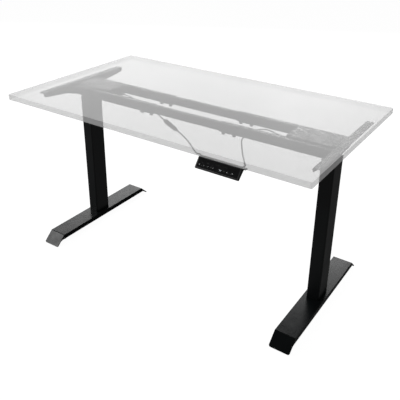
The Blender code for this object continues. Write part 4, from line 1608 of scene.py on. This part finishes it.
@dataclass
class Handset:
    """The control handset under the front edge: case, gloss panel, display and six keys."""

    shop: Workshop
    tilt: float = math.atan2(0.0300, 0.0240)
    panel: float = 0.0012
    mark_height: float = 0.0034
    mark_drop: float = 0.0056
    nose: float = 0.0055
    slope: float = 0.03842
    back: float = 0.014
    ear: Triple = (0.018, 0.014, 0.003)
    ear_z: float = 0.7390
    ear_back: float = 0.0068
    lower_rim: float = 0.7300
    key: Pair = (0.0130, 0.0190)
    key_depth: float = 0.0056
    key_play: float = 0.0006
    proud: float = 0.0005
    stroke: float = 0.0006
    window: float = 0.0250
    key_corner: float = 0.0008
    frame: Matrix = field(init=False)

    def __post_init__(self) -> None:
        """Find the panel's plane: its middle, with X across, Y up the slope and Z out of it."""
        turn = Matrix.Rotation(self.tilt, 4, "X")
        out = turn @ Vector(UPWARD)
        self.frame = Matrix.Translation(Space.of("handset_fascia").middle + out * self.panel / 2) @ turn

    def on_panel(self, node: str) -> Vector:
        """Return the middle of a node in the panel's plane."""
        return self.frame.inverted() @ Space.of(node).middle

    def build(self) -> None:
        """Make the handset."""
        self.case()
        self.fascia()
        self.display()
        for mark in Mark:
            self.cap(mark)
        self.shop.dress_node("control_board", Finishes.BOARD)

    def case(self) -> None:
        """Mould the case with its recess, its screw ear and the two strain reliefs."""
        space = Space.of("handset_case")
        face = Space.of("handset_fascia")
        half_slope = self.slope / 2
        out = (self.frame.to_3x3() @ Vector(UPWARD)).normalized()
        down = (self.frame.to_3x3() @ Vector((0.0, -1.0, 0.0))).normalized()
        top = self.frame @ Vector((0.0, half_slope, 0.0))
        hub = self.frame @ Vector((0.0, -half_slope, 0.0)) - out * self.nose
        back = top.y + self.back
        low = self.lower_rim
        outline = [(back, space.high.z), (back, low), (back - 0.0012, low - 0.0019), (back - 0.0035, low - 0.0030)]
        for step in range(9):
            turn = math.pi * step / 8
            point = hub + (-out * math.cos(turn) + down * math.sin(turn) * 0.62) * self.nose
            outline.append((point.y, point.z))
        outline += [(top.y, top.z), (top.y + 0.002, space.high.z)]
        shell = plate([outline], face.size.x + 0.008, 0.0011, Plane.SIDE, (face.middle.x, 0.0, 0.0))
        recess = box_blank((face.size.x + 0.0006, self.slope - 0.0040, 0.0040), (0.0, 0.0, 0.0005))
        pocket = box_blank((0.1570, self.slope - 0.0150, 0.0120), (0.0, 0.0, -0.0018))
        hollow = carved(shell, [moved(recess, self.frame), moved(pocket, self.frame)])
        ear_y = top.y + self.ear_back
        ear = panel(self.ear, 0.003, 0.0006, (space.high.x - self.ear[0] / 2, ear_y, self.ear_z))
        reliefs = [self.relief(CONTROL_ROUTE, (0.75, -0.66, 0.0)), self.relief(HEAD_ROUTE, (0.0, -1.0, 0.0))]
        self.shop.add("handset_case_moulding", joined([hollow, ear, *reliefs]),
                      Finishes.MOULDED, UPPER, ["handset_case"])
        place = (space.high.x - 0.0065, ear_y, self.ear_z - 0.0014)
        screw = self.shop.heads(EAR_SCREW.mesh(), [place], DOWNWARD, 3, Finishes.BLACK_OXIDE)
        self.shop.add("handset_ear_screw", screw, Finishes.BLACK_OXIDE, UPPER)

    def relief(self, route: "Route", way: Triple) -> Mesh:
        """Return one ribbed strain relief, narrow at the lead and wide at the case.

        Args:
            route: The lead that runs into it.
            way: The way from the lead's end into the case.

        Returns:
            The mesh.
        """
        body = turned([
            (0.0, 0.0), (0.0027, 0.0), (0.0029, 0.0006), (0.0032, 0.0150), (0.0035, 0.0156), (0.0035, 0.0215),
            (0.0, 0.0215),
        ], 24)
        ribs = self.shop.ribs(Finishes.MOULDED, 5, 0.0125, -0.0024, 0.0031, 0.0004, 0.02)
        along = Vector(way).normalized()
        turn = along.to_track_quat("Z", "Y").to_matrix().to_4x4()
        return moved(joined([body, ribs]), turn, place=Vector(route.points[-1]) + along * 2 * GAP)

    def fascia(self) -> None:
        """Make the gloss panel with its openings."""
        face = Space.of("handset_fascia").size
        loops = [rounded_rectangle(face.x, self.slope - 0.0046, 0.0025, 4)]
        for mark in Mark:
            middle = self.on_panel(mark.value)
            loops.append(rounded_rectangle(*self.key, self.key_corner, 3, middle.xy))
        window = self.on_panel("display_window")
        loops.append(rounded_rectangle(self.window, self.key[1], self.key_corner, 3, window.xy))
        mesh = moved(plate(loops, self.panel, 0.0002, place=(0.0, 0.0, -self.panel / 2)), self.frame)
        self.shop.add("handset_panel", mesh, Finishes.GLOSS, UPPER, ["handset_fascia"])

    def display(self) -> None:
        """Make the lens and the lit figures on it."""
        middle = self.on_panel("display_window")
        size = (self.window - self.key_play, self.key[1] - self.key_play, 0.003)
        lens = moved(panel(size, 0.0006, 0.0003, (middle.x, middle.y, -size[2] / 2), 3), self.frame)
        self.shop.add("display_lens", lens, Finishes.LENS, UPPER, ["display_window"])
        loops: list[list[Pair]] = []
        low = middle.y - self.mark_drop - self.mark_height / 2
        for index, digit in enumerate("765"):
            left = middle.x - 0.0048 + index * 0.0034
            loops += bar_loops(digit, 0.0019, self.mark_height, self.stroke, (left, low))
        loops.append(rounded_rectangle(self.stroke, self.stroke, 0.0002, 2, (middle.x + 0.0012, low)))
        self.shop.add("display_figures", self.printed(loops, 0.0), Finishes.SEGMENT, UPPER)

    def printed(self, loops: Sequence[Loop], height: float) -> Mesh:
        """Return thin figures on the panel.

        Args:
            loops: Their outlines in the panel's plane.
            height: How far they lie over it.

        Returns:
            One mesh of them all.
        """
        place = (0.0, 0.0, height + INK_THICKNESS / 2)
        return moved(joined([plate([loop], INK_THICKNESS, place=place) for loop in loops]), self.frame)

    def cap(self, mark: Mark) -> None:
        """Make one key cap and its printed mark.

        Args:
            mark: Which key.
        """
        middle = self.on_panel(mark.value)
        size = (self.key[0] - self.key_play, self.key[1] - self.key_play, self.key_depth)
        shape = panel(size, 0.0007, 0.0004, (middle.x, middle.y, self.proud - self.key_depth / 2), 3)
        body = mark.value + "_body"
        self.shop.add(mark.value + "_cap", moved(shape, self.frame), Finishes.GLOSS, body, [mark.value])
        low = middle.y - self.mark_drop - self.mark_height / 2
        high = low + self.mark_height
        half = self.mark_height * ARROW_SHARE
        if mark is Mark.UP:
            loops = [[(middle.x - half, low), (middle.x + half, low), (middle.x, high)]]
        elif mark is Mark.DOWN:
            loops = [[(middle.x - half, high), (middle.x, low), (middle.x + half, high)]]
        elif mark is Mark.SET:
            left, right = middle.x - half * 0.75, middle.x + half * 0.75
            loops = [
                [(left, low + 0.0010), (right, low + 0.0010), (middle.x, high)],
                [(left, low), (right, low), (right, low + 0.0005), (left, low + 0.0005)],
            ]
        else:
            digit = str(list(Mark).index(mark))  # the memory keys follow SET in order
            loops = bar_loops(digit, 0.0017, self.mark_height, self.stroke, (middle.x - 0.0009, low))
        self.shop.add(mark.value + "_mark", self.printed(loops, self.proud), Finishes.INK, body)


# ---------------------------------------------------------------- leads

@dataclass(frozen=True)
class Route:
    """A lead's given points and what it runs between."""

    node: str
    points: tuple[Triple, ...]
    far_end: str


MOTOR_ROUTE = Route("lead_motor_left", (
    (-0.4277, 0.0111, 0.7140), (-0.4120, 0.0116, 0.7139), (-0.3940, 0.0126, 0.7125),
    (-0.3700, 0.0126, 0.7095), (-0.3400, 0.0101, 0.7050), (-0.3100, 0.0056, 0.7000),
    (-0.2800, -0.0014, 0.6960), (-0.2500, -0.0109, 0.6925), (-0.2200, -0.0199, 0.6892),
    (-0.1940, -0.0284, 0.6872), (-0.1710, -0.0384, 0.6860), (-0.1490, -0.0499, 0.6850),
    (-0.1270, -0.0624, 0.6842), (-0.1070, -0.0729, 0.6836),
), "connector")
CONTROL_ROUTE = Route("lead_control", (
    (0.0060, -0.1319, 0.6802), (0.0230, -0.1409, 0.6798), (0.0450, -0.1539, 0.6797),
    (0.0686, -0.1694, 0.6800), (0.0920, -0.1864, 0.6812), (0.1153, -0.2048, 0.6832),
    (0.1390, -0.2264, 0.6862), (0.1614, -0.2484, 0.6902), (0.1790, -0.2664, 0.6944),
    (0.1942, -0.2829, 0.6990), (0.2090, -0.2989, 0.7040), (0.2227, -0.3136, 0.7092),
    (0.2360, -0.3269, 0.7145), (0.2490, -0.3389, 0.7206), (0.2596, -0.3483, 0.7274),
    (0.2692, -0.3567, 0.7322), (0.2785, -0.3649, 0.7325),
), "object")
HEAD_ROUTE = Route("lead_head_right", (
    (0.4277, -0.0089, 0.7140), (0.4120, -0.0086, 0.7140), (0.3960, -0.0049, 0.7135),
    (0.3740, 0.0051, 0.7122), (0.3510, 0.0176, 0.7106), (0.3280, 0.0261, 0.7086),
    (0.3070, 0.0256, 0.7058), (0.2900, 0.0171, 0.7018), (0.2775, 0.0016, 0.6962),
    (0.2700, -0.0194, 0.6904), (0.2665, -0.0424, 0.6866), (0.2690, -0.0664, 0.6852),
    (0.2830, -0.0934, 0.6850), (0.3015, -0.1229, 0.6858), (0.3200, -0.1524, 0.6878),
    (0.3390, -0.1824, 0.6910), (0.3600, -0.2149, 0.6962), (0.3810, -0.2469, 0.7030),
    (0.3980, -0.2734, 0.7098), (0.4136, -0.2984, 0.7168), (0.4275, -0.3209, 0.7240),
    (0.4385, -0.3364, 0.7297), (0.4448, -0.3469, 0.7325), (0.4450, -0.3569, 0.7325),
), "object")


@dataclass
class Leads:
    """The three leads between the heads and the handset, with the inline connector."""

    shop: Workshop
    diameter: float = 0.005
    steps: int = 44
    roundness: int = 4

    def build(self) -> None:
        """Make the connector halves first, then the leads that they go with."""
        socket, plug = self.connector()
        partners = {MOTOR_ROUTE.node: [socket], CONTROL_ROUTE.node: [plug], HEAD_ROUTE.node: []}
        for route in (MOTOR_ROUTE, CONTROL_ROUTE, HEAD_ROUTE):
            self.lead(route, partners[route.node])

    def lead(self, route: Route, partners: list[Object]) -> None:
        """Make one lead on its route.

        Args:
            route: Where it runs.
            partners: The pieces on it; not used.
        """
        path = smooth_path(route.points, self.steps)
        curve = bpy.data.curves.new(route.node + "_jacket", "CURVE")
        curve.dimensions = "3D"
        curve.bevel_depth = self.diameter / 2
        curve.bevel_resolution = self.roundness
        curve.use_fill_caps = True
        spline = curve.splines.new("POLY")
        spline.points.add(len(path) - 1)
        for point, place in zip(spline.points, path):
            point.co = (*place, 1.0)
        spline.use_smooth = True
        curve.materials.append(self.shop.rack.take(Finishes.JACKET))
        lead = stand(route.node + "_jacket", curve)
        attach(lead, UPPER)
        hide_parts(route.node)

    def connector(self) -> tuple[Object, Object]:
        """Make both halves of the inline connector.

        Returns:
            The socket half and the plug half.
        """
        start, end = Vector(MOTOR_ROUTE.points[-1]), Vector(CONTROL_ROUTE.points[0])
        along = (end - start).normalized()
        length = (end - start).length
        half = (length - 3 * GAP) / 2
        turn = along.to_track_quat("Z", "Y").to_matrix().to_4x4()
        socket = turned([
            (0.0, 0.0), (0.0034, 0.0), (0.0036, 0.0006), (0.0042, 0.0020), (0.0064, 0.0120), (0.0084, 0.0190),
            (0.0090, 0.0215), (0.0090, half - 0.0010), (0.0084, half - 0.0002), (0.0068, half - 0.0002),
            (0.0068, half - 0.0040), (0.0, half - 0.0040),
        ], 32)
        ribs = self.shop.ribs(Finishes.MOULDED, 11, half - 0.006, -0.0026, 0.0087, 0.0005)
        first = moved(joined([socket, ribs]), turn, place=start + along * GAP)
        plug = turned([
            (0.0, -0.0030), (0.0062, -0.0030), (0.0062, 0.0), (0.0068, 0.0), (0.0068, 0.0060), (0.0080, 0.0064),
            (0.0085, 0.0074), (0.0085, half - 0.0225), (0.0080, half - 0.0200), (0.0062, half - 0.0120),
            (0.0041, half - 0.0020), (0.0036, half - 0.0006), (0.0034, half), (0.0, half),
        ], 32)
        ribs = self.shop.ribs(Finishes.MOULDED, 9, 0.0100, 0.0026, 0.0081, 0.0005)
        second = moved(joined([plug, ribs]), turn, place=start + along * (half + 2 * GAP))
        return (
            self.shop.add("connector_socket_half", first, Finishes.MOULDED, UPPER, ["connector_socket"]),
            self.shop.add("connector_plug_half", second, Finishes.MOULDED, UPPER, ["connector_plug"]),
        )


# ---------------------------------------------------------------- studio

@dataclass(frozen=True)
class ViewPoint:
    """Where the camera stands and which way it looks."""

    place: Triple = (1.2622, -1.8266, 1.5513)
    yaw: float = 34.034
    pitch: float = 24.385
    roll: float = 0.573
    lens_mm: float = 50.885
    lift: float = -0.125

    def build(self) -> None:
        """Make the camera."""
        yaw, pitch, roll = (math.radians(value) for value in (self.yaw, self.pitch, self.roll))
        ahead = Vector((-math.sin(yaw) * math.cos(pitch), math.cos(yaw) * math.cos(pitch), -math.sin(pitch)))
        right = Vector((math.cos(yaw), math.sin(yaw), 0.0))
        up = right.cross(ahead)
        right, up = (math.cos(roll) * right + math.sin(roll) * up, math.cos(roll) * up - math.sin(roll) * right)
        data = bpy.data.cameras.new("camera")
        data.lens = self.lens_mm
        data.shift_y = self.lift
        camera = stand("camera", data)
        turn = Matrix((right, up, -ahead)).transposed().to_4x4()
        camera.matrix_world = Matrix.Translation(self.place) @ turn
        bpy.context.scene.camera = camera


@dataclass(frozen=True)
class Lamp:
    """A soft box light aimed at the desk."""

    name: str
    place: Triple
    target: Triple
    width: float
    height: float
    watts: float

    def build(self) -> None:
        """Make the light."""
        data = bpy.data.lights.new(self.name, "AREA")
        data.shape = "RECTANGLE"
        data.size = self.width
        data.size_y = self.height
        data.energy = self.watts
        lamp = stand(self.name, data)
        away = Vector(self.target) - Vector(self.place)
        lamp.matrix_world = Matrix.Translation(self.place) @ away.to_track_quat("-Z", "Y").to_matrix().to_4x4()
        lamp.visible_camera = False


@dataclass
class Studio:
    """White floor, white surroundings and soft boxes."""

    ambient: float = 0.10
    floor_glow: float = 0.97
    floor_white: float = 0.12
    floor_size: float = 60.0
    floor_z: float = -0.0005
    lamps: tuple[Lamp, ...] = (
        Lamp("left_front_box", (-3.5, -2.4, 2.6), (0.0, 0.0, 0.4), 0.9, 0.9, 105.0),
        Lamp("overhead_box", (1.2, -0.4, 3.4), (0.3, 0.0, 0.7), 2.4, 2.4, 22.0),
        Lamp("back_panel", (-2.1, 3.8, 2.15), (0.0, 0.0, 0.7), 5.6, 1.5, 200.0),
        Lamp("back_right_panel", (-0.9, 3.7, 2.30), (0.6, 0.0, 0.7), 1.2, 0.8, 28.0),
    )

    def build(self) -> None:
        """Make the studio."""
        scene = bpy.context.scene
        scene.view_settings.view_transform = "Standard"
        world = bpy.data.worlds.new("studio")
        scene.world = world
        world.use_nodes = True
        tree = world.node_tree
        seen = add_node(tree, "ShaderNodeLightPath").outputs["Is Camera Ray"]
        level = add_node(
            tree, "ShaderNodeMapRange", feeds={"Value": seen, "To Min": self.ambient, "To Max": 1.0},
        ).outputs["Result"]
        background = tree.nodes["Background"]
        background.inputs["Color"].default_value = WHITE
        tree.links.new(level, background.inputs["Strength"])
        for lamp in self.lamps:
            lamp.build()
        self.floor()

    def floor(self) -> None:
        """Lay the floor: nearly white, with room for a faint shadow, and open when seen from below."""
        material = bpy.data.materials.new("studio_floor")
        material.use_nodes = True
        tree = material.node_tree
        tree.nodes.remove(tree.nodes["Principled BSDF"])
        matt = add_node(tree, "ShaderNodeBsdfDiffuse", feeds={"Color": (self.floor_white,) * 3 + (1.0,)})
        glow = add_node(tree, "ShaderNodeEmission", feeds={"Color": WHITE, "Strength": self.floor_glow})
        lit = add_node(tree, "ShaderNodeAddShader", feeds={0: matt.outputs[0], 1: glow.outputs[0]})
        clear = add_node(tree, "ShaderNodeBsdfTransparent")
        below = add_node(tree, "ShaderNodeNewGeometry").outputs["Backfacing"]
        mixed = add_node(tree, "ShaderNodeMixShader", feeds={0: below, 1: lit.outputs[0], 2: clear.outputs[0]})
        tree.links.new(mixed.outputs[0], tree.nodes["Material Output"].inputs["Surface"])
        half = self.floor_size / 2
        corners = [(x * half, y * half, self.floor_z) for x, y in ((-1, -1), (1, -1), (1, 1), (-1, 1))]
        mesh = bpy.data.meshes.new("studio_floor")
        mesh.from_pydata(corners, [], [(0, 1, 2, 3)])
        mesh.materials.append(material)
        floor = stand("studio_floor", mesh)
        floor.visible_diffuse = False
        floor.visible_glossy = False


# ---------------------------------------------------------------- the whole desk


def main() -> None:
    """Build the studio and the desk."""
    logging.basicConfig(level=logging.INFO, format="%(name)s: %(message)s", stream=sys.stdout)
    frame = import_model()
    ViewPoint().build()
    shop = Workshop(frame["nodes"])
    Leads(shop).build()
    Studio().build()
    Desktop(shop).build()
    for side in Side:
        Foot(shop, side).build()
        for end in End:
            Glide(shop, side, end).build()
        Leg(shop, side).build()
        Head(shop, side).build()
        Arm(shop, side).build()
    Rails(shop).build()
    MainsInlet(shop).build()
    Handset(shop).build()


if __name__ == "__main__":
    main()
